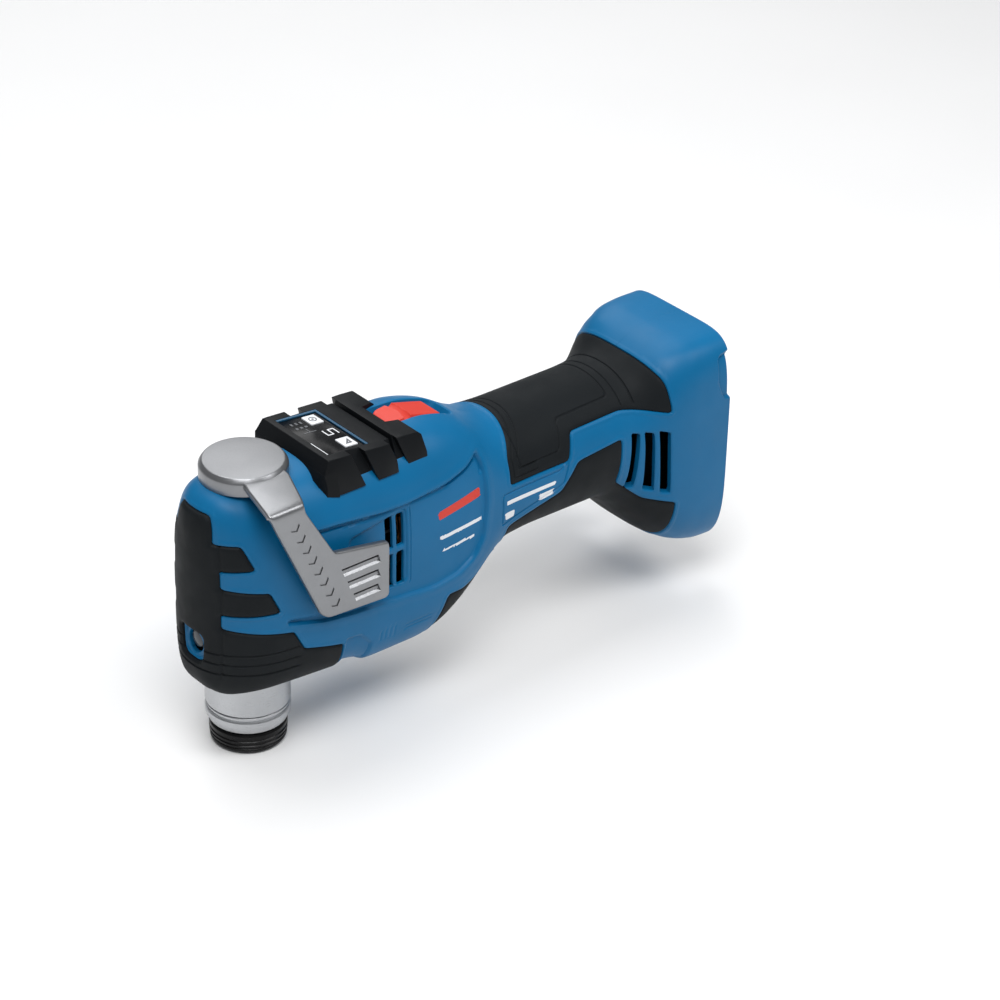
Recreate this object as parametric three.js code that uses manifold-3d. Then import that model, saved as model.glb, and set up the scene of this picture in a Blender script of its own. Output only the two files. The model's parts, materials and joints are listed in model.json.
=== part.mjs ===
// Cordless oscillating multi-tool, bare tool without its battery pack.
// Millimetres. +Z up, the spindle axis is the Z axis, +X runs back along the grip to the battery shoe.
// The origin is on the spindle axis in the plane of the tool holder's lower rim.
import * as THREE from "three";
import { mergeVertices } from "three/addons/utils/BufferGeometryUtils.js";
import Module from "manifold-3d";

const wasm = await Module();
wasm.setup();

// ---------- driving dimensions ----------
const GAP = 0.3; // clearance between touching pieces
const WALL = 3; // housing wall
const SKIN = 1.5; // thickness of the soft-grip layers
const NOSE_R = 24; // nose radius about the spindle axis
const MOTOR_Z = 69; // height of the motor and grip axis
const SHOE_X = 197; // rear face of the battery shoe
const HOLDER = { r: 13.7, top: 7.6, depth: 5.2, bore: 6.8, lobes: 12, rMin: 9.4, rMax: 10.9 };
const NECK = { r: 14.9, bottom: 15.6 };
const SPINDLE = { r: 8.5, skirtR: 11.4, skirtTop: 26, top: 91 };
const ROD = { r: 2.2, headR: 3.2, collarR: 5.9, collarZ: 62.6, top: 100.6 };
const SPRING = { r: 4.7, wire: 0.55, z0: 44.9, z1: 61.7, turns: 4 };
const CAP = { r: 15.2, flatR: 13.6, top: 110.6, bottom: 104 };
const LEVER = { outer: -31, inner: -28, slopeTop: 109.4 };
const FORK = { inner: 9.4, outer: 13 };
const ECCENTRIC = { offset: 0.8, journalR: 3, x0: 19.5, x1: 30.6 };
const MOTOR = { statorR: 20.3, boreR: 12.4, rotorR: 11.6, x0: 53, x1: 82, shaftR: 3 };
const FAN = { x0: 43, x1: 50.4, r: 19.5, blades: 7 };
const DISPLAY = { x0: 18.8, frontX: 21.6, x1: 49.4, top: 110, foot: 97, topW: 18.2, footW: 21.4 };
const GUARD = { x0: 50.2, x1: 62.6, notchX: 55, topW: 17.8, footW: 20.6, top: 108.8, foot: 96.2 };
const SLIDER = { x0: 57.4, x1: 80.4, w: 6.1, bottom: 101.3 };
const MOTOR_VENTS = { x: [41.8, 46.6], z: [54.5, 69.5], width: 3.2, height: 12.8 };
const FOOT_VENTS = { x: [155.2, 161.4, 167.6], z: 50, width: 3.4, height: 24 };
const LED = { z: 47, r: 4.2, x0: -22.6, x1: -19.4 };
const SCREW = { headR: 2.9, shankR: 1.5, bossR: 5, length: 26 };
const SCREW_SPOTS = [
  [32.5, 34.5],
  [82, 42],
  [104, 66],
  [140, 79.5],
  [177, 94],
  [178, 27.6],
];

const SIDES = 16; // sides of a hidden round piece
const SHOWN_SIDES = 28; // sides of a round piece that shows

// ---------- geometry helpers ----------
function solidOf(geometry) {
  const bare = geometry.clone();
  for (const name of Object.keys(bare.attributes)) {
    if (name !== "position") bare.deleteAttribute(name);
  }
  const merged = mergeVertices(bare, 1e-4);
  const mesh = new wasm.Mesh({
    numProp: 3,
    vertProperties: merged.attributes.position.array,
    triVerts: new Uint32Array(merged.index.array),
  });
  return new wasm.Manifold(mesh);
}

function geometryOf(solid) {
  const mesh = solid.getMesh();
  const geometry = new THREE.BufferGeometry();
  const points = new Float32Array(mesh.numVert * 3);
  for (let i = 0; i < mesh.numVert; i++) {
    points.set(mesh.vertProperties.subarray(i * mesh.numProp, i * mesh.numProp + 3), i * 3);
  }
  geometry.setAttribute("position", new THREE.BufferAttribute(points, 3));
  geometry.setIndex(new THREE.BufferAttribute(new Uint32Array(mesh.triVerts), 1));
  return geometry.toNonIndexed();
}

const join = (first, ...rest) => rest.reduce((sum, next) => sum.add(next), first);
const cut = (first, ...rest) => rest.reduce((sum, next) => sum.subtract(next), first);
const meet = (first, ...rest) => rest.reduce((sum, next) => sum.intersect(next), first);

function box(x0, x1, y0, y1, z0, z1) {
  const geometry = new THREE.BoxGeometry(x1 - x0, y1 - y0, z1 - z0);
  geometry.translate((x0 + x1) / 2, (y0 + y1) / 2, (z0 + z1) / 2);
  return solidOf(geometry);
}

// The same box on the +Y side or mirrored to the -Y side; y0 and y1 are distances from the middle plane.
const sideBox = (side, x0, x1, y0, y1, z0, z1) =>
  side > 0 ? box(x0, x1, y0, y1, z0, z1) : box(x0, x1, -y1, -y0, z0, z1);

// A solid of revolution about Z from a closed [radius, height] outline, listed upwards on its outside.
function turned(outline, sides = SIDES) {
  const points = outline.map(([r, z]) => new THREE.Vector2(r, z));
  const onAxis = outline[0][0] === 0 && outline[outline.length - 1][0] === 0;
  if (!onAxis) points.push(points[0].clone());
  const geometry = new THREE.LatheGeometry(points, sides);
  geometry.rotateX(Math.PI / 2);
  return solidOf(geometry);
}

const disc = (r, z0, z1, sides = SIDES) =>
  turned(
    [
      [0, z0],
      [r, z0],
      [r, z1],
      [0, z1],
    ],
    sides,
  );

const ring = (rIn, rOut, z0, z1, sides = SIDES) =>
  turned(
    [
      [rIn, z0],
      [rOut, z0],
      [rOut, z1],
      [rIn, z1],
    ],
    sides,
  );

// Lays a solid made about the Z axis along X, at a height above the origin.
const alongX = (solid, z) => solid.rotate([0, 90, 0]).translate([0, 0, z]);
const onMotorAxis = (solid) => alongX(solid, MOTOR_Z);

// Lays a solid made about the Z axis along Y, through a point of the XZ plane.
const alongY = (solid, x, z) => solid.rotate([-90, 0, 0]).translate([x, 0, z]);

// A rounded outline: every corner is [a, b, radius].
function outlineShape(corners) {
  const shape = new THREE.Shape();
  const count = corners.length;
  corners.forEach(([a, b, radius = 0], i) => {
    const here = new THREE.Vector2(a, b);
    const before = new THREE.Vector2(...corners[(i + count - 1) % count]);
    const after = new THREE.Vector2(...corners[(i + 1) % count]);
    const toBefore = before.sub(here);
    const toAfter = after.sub(here);
    const reach = Math.min(radius, toBefore.length() / 2.1, toAfter.length() / 2.1);
    const start = here.clone().add(toBefore.setLength(reach));
    const end = here.clone().add(toAfter.setLength(reach));
    if (i === 0) shape.moveTo(start.x, start.y);
    else shape.lineTo(start.x, start.y);
    if (radius > 0) shape.quadraticCurveTo(here.x, here.y, end.x, end.y);
  });
  shape.closePath();
  return shape;
}

function extruded(shape, depth, basis, steps = 2) {
  const geometry = new THREE.ExtrudeGeometry(shape, {
    depth,
    bevelEnabled: false,
    curveSegments: steps,
  });
  geometry.applyMatrix4(basis);
  return solidOf(geometry);
}

// Prisms whose outline lies in the XY, YZ or XZ plane.
const prismZ = (corners, z0, z1) =>
  extruded(outlineShape(corners), z1 - z0, new THREE.Matrix4().makeTranslation(0, 0, z0));

function prismX(corners, x0, x1) {
  const basis = new THREE.Matrix4().set(0, 0, 1, x0, 1, 0, 0, 0, 0, 1, 0, 0, 0, 0, 0, 1);
  return extruded(outlineShape(corners), x1 - x0, basis);
}

function prismY(corners, y0, y1) {
  const basis = new THREE.Matrix4().set(1, 0, 0, 0, 0, 0, -1, y1, 0, 1, 0, 0, 0, 0, 0, 1);
  return extruded(outlineShape(corners), y1 - y0, basis);
}

// A round cable along a smooth curve through the given points.
function cable(points, radius, steps) {
  const curve = new THREE.CatmullRomCurve3(points.map((p) => new THREE.Vector3(...p)));
  const section = new THREE.Shape().absarc(0, 0, radius, 0, Math.PI * 2, false);
  const geometry = new THREE.ExtrudeGeometry(section, {
    steps,
    curveSegments: 3,
    bevelEnabled: false,
    extrudePath: curve,
  });
  return solidOf(geometry);
}

// ---------- outer form ----------
// Each station is x, half width, top, bottom, and how square the upper and lower halves are.
const NOSE_ANGLES = [4, 22, 41, 60, 77];
const noseStations = NOSE_ANGLES.map((degrees) => {
  const angle = THREE.MathUtils.degToRad(degrees);
  const round = 1 - Math.cos(angle);
  return {
    x: -NOSE_R * Math.cos(angle),
    w: NOSE_R * Math.sin(angle),
    top: 104.4 - 19 * (1 - Math.sqrt(Math.min(1, 2.2 * round))) ** 2,
    bottom: 27.4 + 17 * (1 - Math.sqrt(Math.min(1, 2.6 * round))) ** 2,
    up: 3,
    down: 4.2,
  };
});
const BODY_STATIONS = [
  [0, 24, 104.6, 27.2, 3, 4.4],
  [16, 26, 105.4, 26.6, 3, 4.2],
  [29, 26, 106, 25.6, 3, 4.2],
  [36, 26, 106.2, 22.6, 3, 4],
  [60, 26, 106.6, 22.4, 3, 4],
  [69, 26, 106.2, 24.6, 3, 3.8],
  [77, 25.8, 104.2, 28.6, 2.9, 3.4],
  [84, 25.4, 101.6, 33.6, 2.7, 3],
  [91, 24.8, 97.2, 40, 2.4, 2.6],
  [99, 24.2, 93.8, 44.6, 2.2, 2.2],
  [112, 24, 93.2, 45.2, 2.1, 2.1],
  [149, 24, 93.2, 44.6, 2.1, 2.1],
  [158, 24.6, 93.8, 37.4, 2.2, 2.6],
  [164, 26.6, 96, 30, 2.6, 3],
  [171, 28.8, 100.6, 23.4, 3.8, 3.3],
  [180, 29.6, 102.8, 17.6, 5.4, 3.6],
  [189, 29.6, 103, 14.4, 6, 3.8],
  [SHOE_X, 29.2, 103, 13.6, 6, 3.8],
].map(([x, w, top, bottom, up, down]) => ({ x, w, top, bottom, up, down }));
const STATIONS = [...noseStations, ...BODY_STATIONS];
const SECTION_POINTS = 20;

function sectionPoints({ x, w, top, bottom, up, down }, inset) {
  const middle = bottom + 0.47 * (top - bottom);
  const points = [];
  for (let i = 0; i < SECTION_POINTS; i++) {
    const angle = (2 * Math.PI * i) / SECTION_POINTS;
    const c = Math.cos(angle);
    const s = Math.sin(angle);
    const power = s >= 0 ? up : down;
    const reach = (s >= 0 ? top - middle : middle - bottom) - inset;
    const y = Math.sign(c) * Math.abs(c) ** (2 / power) * Math.max(w - inset, 0.5);
    const z = middle + Math.sign(s) * Math.abs(s) ** (2 / power) * reach;
    points.push([x, y, z]);
  }
  return points;
}

// The outer form moved inwards by inset, as one closed loft along X.
function formSolid(inset, x0 = -Infinity, x1 = Infinity) {
  const rows = STATIONS.map((station) => {
    const x = THREE.MathUtils.clamp(station.x, -NOSE_R + inset, SHOE_X);
    return sectionPoints({ ...station, x: Math.min(Math.max(x, x0), x1) }, inset);
  });
  const positions = [];
  const quad = (a, b, c, d) => positions.push(...a, ...b, ...c, ...a, ...c, ...d);
  for (let i = 0; i + 1 < rows.length; i++) {
    for (let j = 0; j < SECTION_POINTS; j++) {
      const k = (j + 1) % SECTION_POINTS;
      quad(rows[i][j], rows[i][k], rows[i + 1][k], rows[i + 1][j]);
    }
  }
  for (const [row, outward] of [
    [rows[0], -1],
    [rows[rows.length - 1], 1],
  ]) {
    for (let j = 1; j + 1 < SECTION_POINTS; j++) {
      if (outward > 0) positions.push(...row[0], ...row[j], ...row[j + 1]);
      else positions.push(...row[0], ...row[j + 1], ...row[j]);
    }
  }
  const geometry = new THREE.BufferGeometry();
  geometry.setAttribute("position", new THREE.Float32BufferAttribute(positions, 3));
  geometry.setIndex([...Array(positions.length / 3).keys()]);
  return solidOf(geometry);
}

// ---------- soft-grip regions, as outlines in the XZ plane cut through both sides ----------
const NOSE_PAD = [
  [-30, 99],
  [-19.5, 99],
  [-20.5, 89],
  [-14, 89],
  [-10.6, 80],
  [-19.6, 79.2],
  [-19.6, 72.4],
  [-6.4, 70.6],
  [-2.6, 62.2],
  [-19.6, 62.2],
  [-19.6, 56.8],
  [2.2, 52.8],
  [6.4, 44.6],
  [22.4, 40.4],
  [23.4, 20],
  [-30, 20],
];
const BELLY_PAD = [
  [68.8, 42.2],
  [76, 41.4],
  [84, 43.6],
  [91, 49.6],
  [95, 46],
  [95, 18],
  [61, 18],
];
const GRIP_PAD = [
  [109, 100],
  [98.5, 84],
  [97.5, 75],
  [125, 75],
  [128.5, 84],
  [152, 84.4],
  [170, 80.6],
  [169, 92],
  [163, 104],
];
const UNDER_PAD = [
  [97, 58],
  [121, 64],
  [129, 73.4],
  [150, 75],
  [148.6, 57],
  [160, 47],
  [173.4, 42.4],
  [173.4, 8],
  [99, 8],
];
const padRegion = (outline) => prismY(outline, -40, 40);

// Moves every edge of a counter-clockwise or clockwise outline outwards by d.
function grown(outline, d) {
  const area = THREE.ShapeUtils.area(outline.map(([a, b]) => new THREE.Vector2(a, b)));
  const turn = Math.sign(area);
  return outline.map(([a, b, radius], i) => {
    const before = outline[(i + outline.length - 1) % outline.length];
    const after = outline[(i + 1) % outline.length];
    const normals = [
      [b - before[1], before[0] - a],
      [after[1] - b, a - after[0]],
    ].map(([nx, nz]) => new THREE.Vector2(nx, nz).normalize().multiplyScalar(turn));
    const mean = normals[0].clone().add(normals[1]).normalize();
    const reach = d / Math.max(mean.dot(normals[0]), 0.4);
    return [a + mean.x * reach, b + mean.y * reach, radius];
  });
}

const outerForm = formSolid(0);
const underSkin = formSolid(SKIN);
const skinLayer = cut(outerForm, underSkin);
const pocketLayer = cut(formSolid(-0.4), formSolid(SKIN + GAP));
const padSolid = (outline) => meet(skinLayer, padRegion(outline));
const padPocket = (outline) => meet(pocketLayer, padRegion(grown(outline, GAP)));

function nosePad() {
  const lightHole = alongX(disc(LED.r + 1, -30, -15), LED.z);
  const neckHole = disc(NECK.r + 0.5, 0, 60);
  return cut(padSolid(NOSE_PAD), lightHole, neckHole);
}

// The belly pad has a round opening for the head of the screw that enters through it.
function bellyPad() {
  const [x, z] = SCREW_SPOTS[1];
  return cut(padSolid(BELLY_PAD), alongY(disc(SCREW.headR + 0.6, 0, 40, 12), x, z));
}

// ---------- housing shells ----------
function ventCutters(side) {
  const slots = [];
  for (const x of MOTOR_VENTS.x) {
    for (const z of MOTOR_VENTS.z) slots.push([x, z, MOTOR_VENTS.width, MOTOR_VENTS.height]);
  }
  for (const x of FOOT_VENTS.x) slots.push([x, FOOT_VENTS.z, FOOT_VENTS.width, FOOT_VENTS.height]);
  return slots.map(([x, z, width, height]) => sideBox(side, x, x + width, 14, 40, z, z + height));
}

function screwBoss(x, z) {
  return alongY(disc(SCREW.bossR, -26, 26, 16), x, z);
}

function screwBore(x, z, side) {
  if (side < 0) return alongY(disc(SCREW.shankR + GAP, -17, 1, 12), x, z);
  const shank = alongY(disc(SCREW.shankR + GAP, -1, 40, 12), x, z);
  const headPocket = alongY(disc(SCREW.headR + 0.6, 12, 40, 12), x, z);
  return join(shank, headPocket);
}

const halfSpace = (side) => sideBox(side, -60, 260, GAP / 2, 60, -10, 130);

// Openings through the shells: neck, lever hub, display well, slider slot and battery shoe.
function housingOpenings() {
  const neckHole = disc(NECK.r + 0.5, 0, 60);
  const hubPocket = disc(CAP.r + 0.5, 103.5, 120);
  const hubHole = disc(11.6, 92, 120);
  const displayWell = prismZ(
    [
      [22.6, -17.6, 2],
      [47, -17.6, 2],
      [47, 17.6, 2],
      [22.6, 17.6, 2],
    ],
    90,
    120,
  );
  const displaySeat = prismX(grown(hoodProfile(DISPLAY), GAP), DISPLAY.x0 - GAP, DISPLAY.x1 + GAP);
  const guardSeat = prismX(grown(hoodProfile(GUARD), GAP), GUARD.x0 - GAP, GUARD.x1 + GAP);
  const sliderPocket = box(SLIDER.x0 - 1, 85.4, -SLIDER.w - 0.9, SLIDER.w + 0.9, 101, 120);
  const sliderSlot = box(61, 82, -4.5, 4.5, 90, 120);
  const ledHole = alongX(disc(LED.r + 0.8, -30, -15), LED.z);
  return [
    neckHole,
    hubPocket,
    hubHole,
    displayWell,
    displaySeat,
    guardSeat,
    sliderPocket,
    sliderSlot,
    ledHole,
  ];
}

function housingShell(side) {
  const cavity = formSolid(WALL, -100, SHOE_X + 5);
  const shoeMouth = join(box(183.6, 200, -20.5, 20.5, 22, 98), box(187, 200, -20.5, 20.5, 5, 30));
  const pads = [NOSE_PAD, BELLY_PAD, GRIP_PAD, UNDER_PAD].map(padPocket);
  const bosses = SCREW_SPOTS.map(([x, z]) => screwBoss(x, z));
  const bores = SCREW_SPOTS.map(([x, z]) => screwBore(x, z, side));
  const shell = cut(outerForm, meet(cavity, box(-60, 190, -60, 60, 0, 130)), shoeMouth);
  const boxed = join(shell, ...bosses.map((boss) => meet(boss, formSolid(1))));
  const opened = cut(boxed, ...pads, ...bores, ...ventCutters(side), ...housingOpenings());
  return meet(opened, halfSpace(side));
}

// ---------- spindle group ----------
function starCutter() {
  const { lobes, rMin, rMax, depth } = HOLDER;
  const corners = [];
  for (let i = 0; i < lobes * 2; i++) {
    const angle = (Math.PI * i) / lobes;
    const r = i % 2 ? rMin : rMax;
    corners.push([r * Math.cos(angle), r * Math.sin(angle)]);
  }
  return prismZ(corners, -1, depth);
}

function toolHolder() {
  const { r, top, bore } = HOLDER;
  const blank = turned(
    [
      [bore, 0],
      [r - 1.6, 0],
      [r - 0.4, 0.7],
      [r, 2],
      [r, top - 0.6],
      [r - 0.6, top],
      [bore, top],
    ],
    SHOWN_SIDES,
  );
  return cut(blank, starCutter());
}

function spindle() {
  const { r, skirtR, skirtTop, top } = SPINDLE;
  const bottom = HOLDER.top + GAP;
  return turned([
    [7.6, bottom],
    [skirtR, bottom],
    [skirtR, skirtTop],
    [r, skirtTop + 1.5],
    [r, top - 1],
    [r - 1, top],
    [2.8, top],
    [2.8, 66],
    [6.6, 65],
    [6.6, 44],
    [3.6, 43],
    [3.6, 28],
    [7.6, 24],
  ]);
}

function clampRod() {
  const { r, headR, collarR, collarZ, top } = ROD;
  return turned(
    [
      [0, 0],
      [headR, 0],
      [headR, 3],
      [r, 4],
      [r, 17],
      [3.1, 19],
      [3.1, 22],
      [r, 24],
      [r, collarZ],
      [collarR, collarZ],
      [collarR, collarZ + 1.4],
      [r, collarZ + 1.4],
      [r, top],
      [0, top],
    ],
    16,
  );
}

// The spring stands on the spindle's inner shoulder and pushes the rod's collar up.
function clampSpring() {
  const { r, wire, z0, z1, turns } = SPRING;
  const steps = turns * 8;
  const points = [];
  for (let i = 0; i <= steps; i++) {
    const angle = (2 * Math.PI * turns * i) / steps;
    const z = z0 + ((z1 - z0) * i) / steps;
    points.push([r * Math.cos(angle), r * Math.sin(angle), z]);
  }
  return cable(points, wire, steps);
}

const JAW = { pivotX: 5.4, pivotZ: 20, halfW: 2.4 };
function clampJaw(side) {
  const profile = [
    [4.0, 1.4, 0.4],
    [7.2, 1.4, 0.6],
    [7.2, 3, 0.4],
    [5.9, 4.6, 0.4],
    [6.4, 12, 0],
    [6.7, 21.4, 1],
    [4.4, 22.4, 1],
    [3.7, 14, 0],
  ];
  const jaw = prismY(profile, -JAW.halfW, JAW.halfW);
  const bore = alongY(disc(1, -4, 4, 12), JAW.pivotX, JAW.pivotZ);
  const open = cut(jaw, bore);
  return side > 0 ? open : open.rotate([0, 0, 180]);
}

const jawPin = (side) => alongY(disc(0.8, -4.1, 4.1, 12), side * JAW.pivotX, JAW.pivotZ);

function fork() {
  const { x0, x1 } = ECCENTRIC;
  const hub = ring(SPINDLE.r + GAP, 13.4, MOTOR_Z - 6, MOTOR_Z + 6);
  const neck = cut(box(8, x0 - 1, -7, 7, MOTOR_Z - 5, MOTOR_Z + 5), disc(SPINDLE.r + GAP, 0, 120));
  const yoke = box(x0 - 3.2, x0 - 0.8, -FORK.outer, FORK.outer, MOTOR_Z - 5, MOTOR_Z + 5);
  const prongs = [-1, 1].map((side) =>
    sideBox(side, x0 - 2, x1 - 1, FORK.inner, FORK.outer, MOTOR_Z - 5, MOTOR_Z + 5),
  );
  return join(hub, neck, yoke, ...prongs);
}

// ---------- gear housing ----------
const gearPlan = (r, x1) => {
  const corners = [];
  for (let i = 0; i <= 8; i++) {
    const angle = Math.PI / 2 + (Math.PI * i) / 8;
    corners.push([r * Math.cos(angle), r * Math.sin(angle)]);
  }
  return [[x1, r], ...corners, [x1, -r]];
};
const COVER_SCREWS = [
  [37.6, 13.6],
  [37.6, -13.6],
];
const GEAR = { r: 18, wall: 2.4, x1: 41, bottom: 42, split: 79, top: 94.4 };

function gearHousing() {
  const { r, wall, x1, bottom, split } = GEAR;
  const neckR = NECK.r;
  const neck = turned([
    [SPINDLE.skirtR + 0.5, NECK.bottom],
    [neckR, NECK.bottom],
    [neckR, bottom + 1],
    [8.9, bottom + 1],
    [8.9, 41],
    [12.4, 41],
    [12.4, 29.4],
    [SPINDLE.skirtR + 0.5, 28.4],
  ], SHOWN_SIDES);
  const blank = prismZ(gearPlan(r, x1), bottom, split);
  const cavity = prismZ(gearPlan(r - wall, x1 - 5.8), bottom + wall, split + 1);
  const spindleHole = disc(8.9, 0, 120);
  const bearingSeat = onMotorAxis(disc(9.4, x1 - 5.5, x1 + 2));
  const shaftHole = onMotorAxis(disc(6.6, 30, x1 + 2));
  const screwHoles = COVER_SCREWS.map(coverScrewHole);
  return cut(join(cut(blank, cavity), neck), spindleHole, bearingSeat, shaftHole, ...screwHoles);
}

function gearCover() {
  const { r, wall, x1, split, top } = GEAR;
  const blank = join(prismZ(gearPlan(r, x1), split + GAP, 89), disc(15, 88, top));
  const cavity = prismZ(gearPlan(r - wall, x1 - wall), split - 1, 81.6);
  const seat = disc(11.9, 82.4, top - 2);
  return cut(blank, cavity, seat, disc(8.9, 60, 120), ...COVER_SCREWS.map(coverScrewHole));
}

const coverScrew = (x, y) =>
  join(disc(2.6, 89.3, 91.3, 12), disc(1.4, 72, 89.4, 12)).translate([x, y, 0]);
const coverScrewHole = ([x, y]) => disc(1.4 + GAP, 71.6, 92, 12).translate([x, y, 0]);

const neckCollar = () =>
  turned([
    [SPINDLE.skirtR + 0.5, 8.2],
    [13.8, 8.2],
    [15, 11.6],
    [15, 14.2],
    [14.4, 15.3],
    [SPINDLE.skirtR + 0.5, 15.3],
  ], SHOWN_SIDES);

const sealRing = () => ring(SPINDLE.r + 0.3, 12.1, 39.4, 40.8);

// A sealed bearing: both races and the shield between them, set back a little.
function sealedBearing(rIn, rOut, z0, z1) {
  const shieldIn = rIn + 0.3 * (rOut - rIn);
  const shieldOut = rIn + 0.7 * (rOut - rIn);
  return turned(
    [
      [rIn, z0],
      [rOut, z0],
      [rOut, z1],
      [shieldOut, z1],
      [shieldOut, z1 - 0.4],
      [shieldIn, z1 - 0.4],
      [shieldIn, z1],
      [rIn, z1],
    ],
  );
}

// ---------- motor ----------
function rotorShaft() {
  const { offset, journalR, x0, x1 } = ECCENTRIC;
  const journal = alongX(disc(journalR, x0, x1), MOTOR_Z + offset);
  return join(onMotorAxis(disc(MOTOR.shaftR, x1 - 0.5, 96)), journal);
}

const eccentricBearing = () =>
  alongX(
    turned(
      [
        [ECCENTRIC.journalR + 0.1, 21],
        [7, 21],
        [7.5, 24.4],
        [7, 27.8],
        [ECCENTRIC.journalR + 0.1, 27.8],
      ],
    ),
    MOTOR_Z + ECCENTRIC.offset,
  );

function counterweight() {
  const blank = onMotorAxis(ring(MOTOR.shaftR + 0.1, 9, 31, 34.6));
  const relief = box(30, 36, -12, 12, MOTOR_Z + 4.5, MOTOR_Z + 12);
  return cut(blank, relief);
}

function fan() {
  const { x0, x1, r, blades } = FAN;
  const hub = ring(MOTOR.shaftR + 0.1, 6.4, x0, x1);
  const plate = ring(5, r, x1 - 1.4, x1);
  const vanes = [];
  for (let i = 0; i < blades; i++) {
    const vane = box(5.6, r - 0.6, -0.5, 0.5, x0 + 0.6, x1 - 1);
    vanes.push(vane.rotate([0, 0, (360 * i) / blades]));
  }
  return onMotorAxis(join(hub, plate, ...vanes));
}

const SLOT_COUNT = 6;
function statorCore() {
  const blank = ring(MOTOR.boreR, MOTOR.statorR, MOTOR.x0, MOTOR.x1, 20);
  const slots = [];
  for (let i = 0; i < SLOT_COUNT; i++) {
    const slot = box(MOTOR.boreR - 1, MOTOR.statorR - 2.4, -2.6, 2.6, MOTOR.x0 - 1, MOTOR.x1 + 1);
    slots.push(slot.rotate([0, 0, (360 * i) / SLOT_COUNT]));
  }
  return onMotorAxis(cut(blank, ...slots));
}

function statorWinding() {
  const inner = MOTOR.boreR + 0.6;
  const outer = MOTOR.statorR - 3;
  const ends = [
    ring(inner, outer, MOTOR.x0 - 2.2, MOTOR.x0 - GAP),
    ring(inner, outer, MOTOR.x1 + GAP, MOTOR.x1 + 2.6),
  ];
  const bars = [];
  for (let i = 0; i < SLOT_COUNT; i++) {
    const bar = box(inner + 0.4, outer - 0.4, -2.2, 2.2, MOTOR.x0 - 1, MOTOR.x1 + 1);
    bars.push(bar.rotate([0, 0, (360 * i) / SLOT_COUNT]));
  }
  return onMotorAxis(join(ends[0], ends[1], ...bars));
}

const MAGNET = { rIn: 8.6, x0: MOTOR.x0 + 0.5, x1: MOTOR.x1 - 0.5 };
const rotorCore = () => onMotorAxis(ring(MOTOR.shaftR + 0.1, MAGNET.rIn - 0.1, MAGNET.x0, MAGNET.x1));
const rotorMagnet = () => onMotorAxis(ring(MAGNET.rIn, MOTOR.rotorR, MAGNET.x0, MAGNET.x1));

const sensorBoard = () => onMotorAxis(ring(6, 18.6, 86, 87.4));

function rearBracket() {
  const plate = onMotorAxis(ring(9.6, 20.4, 88.4, 90.6));
  const cup = onMotorAxis(
    turned(
      [
        [8.3, 88.4],
        [10.4, 88.4],
        [10.4, 95.6],
        [4.6, 95.6],
        [4.6, 94],
        [8.3, 94],
      ],
    ),
  );
  return join(plate, cup);
}

// ---------- electronics ----------
const controlModule = () =>
  join(
    box(163.4, 178, -16, 16, 39, 84),
    box(177, 180.6, -13, 13, 42, 78),
    ...[-12, -6, 0, 6, 12].map((y) => box(160.6, 164, y - 0.9, y + 0.9, 40, 80)),
  );

function switchModule() {
  const body = box(62, 80, -6.4, 6.4, 90.6, 96.6);
  return join(body, box(64, 66, -3, 3, 96, 96.8), box(76, 78, -3, 3, 96, 96.8));
}

// ---------- battery shoe ----------
const RAIL = { inner: 14.4, outer: 16.6, lip: 19, x0: 184, x1: 196 };
function batteryShoe() {
  const { inner, outer, lip, x0, x1 } = RAIL;
  const plate = box(x0, x0 + 2.6, -20.1, 20.1, 22.4, 97.6);
  const rails = [-1, 1].map((side) => {
    const web = sideBox(side, x0 + 1, x1, inner, outer, 26, 92);
    const edge = sideBox(side, x1 - 2.4, x1, outer, lip, 26, 92);
    return join(web, edge);
  });
  const stop = box(x0 + 1, x1 - 1, -10, 10, 90, 94);
  const slots = CONTACT_Y.map((y) => box(x0 - 1, x0 + 4, y - 0.8, y + 0.8, 47, 71));
  return cut(join(plate, ...rails, stop), ...slots);
}

const CONTACT_Y = [-7.5, 0, 7.5];
const CONTACT_NAMES = ["battery_contact_plus", "coding_contact", "battery_contact_minus"];
const contactBlade = (y) => box(181.4, 194, y - 0.45, y + 0.45, 48, 70);

// ---------- display ----------
// Cross-section of the display hood and of the guard behind it: a saddle over the housing crown.
const hoodProfile = ({ topW, footW, top, foot }) => [
  [-footW, foot],
  [-topW - 0.2, top - 0.7],
  [-topW + 0.5, top],
  [topW - 0.5, top],
  [topW + 0.2, top - 0.7],
  [footW, foot],
  [15, 101.4],
  [-15, 101.4],
];
const DISPLAY_SLOPE = 3 / 33.6; // fall of the display's top face towards the back
const screenZ = (x, depth) => DISPLAY.top + 0.22 - DISPLAY_SLOPE * (x - DISPLAY.x0) - depth;
const SCREEN = { x0: 24.2, x1: 41.2, w: 14.6, recess: 0.5, thickness: 1.4 };
const KEYS = {
  display_key_far: [33.4, 38.6, 6.4, 12.4],
  display_key_near: [33.4, 38.6, -12.4, -6.4],
};

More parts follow.
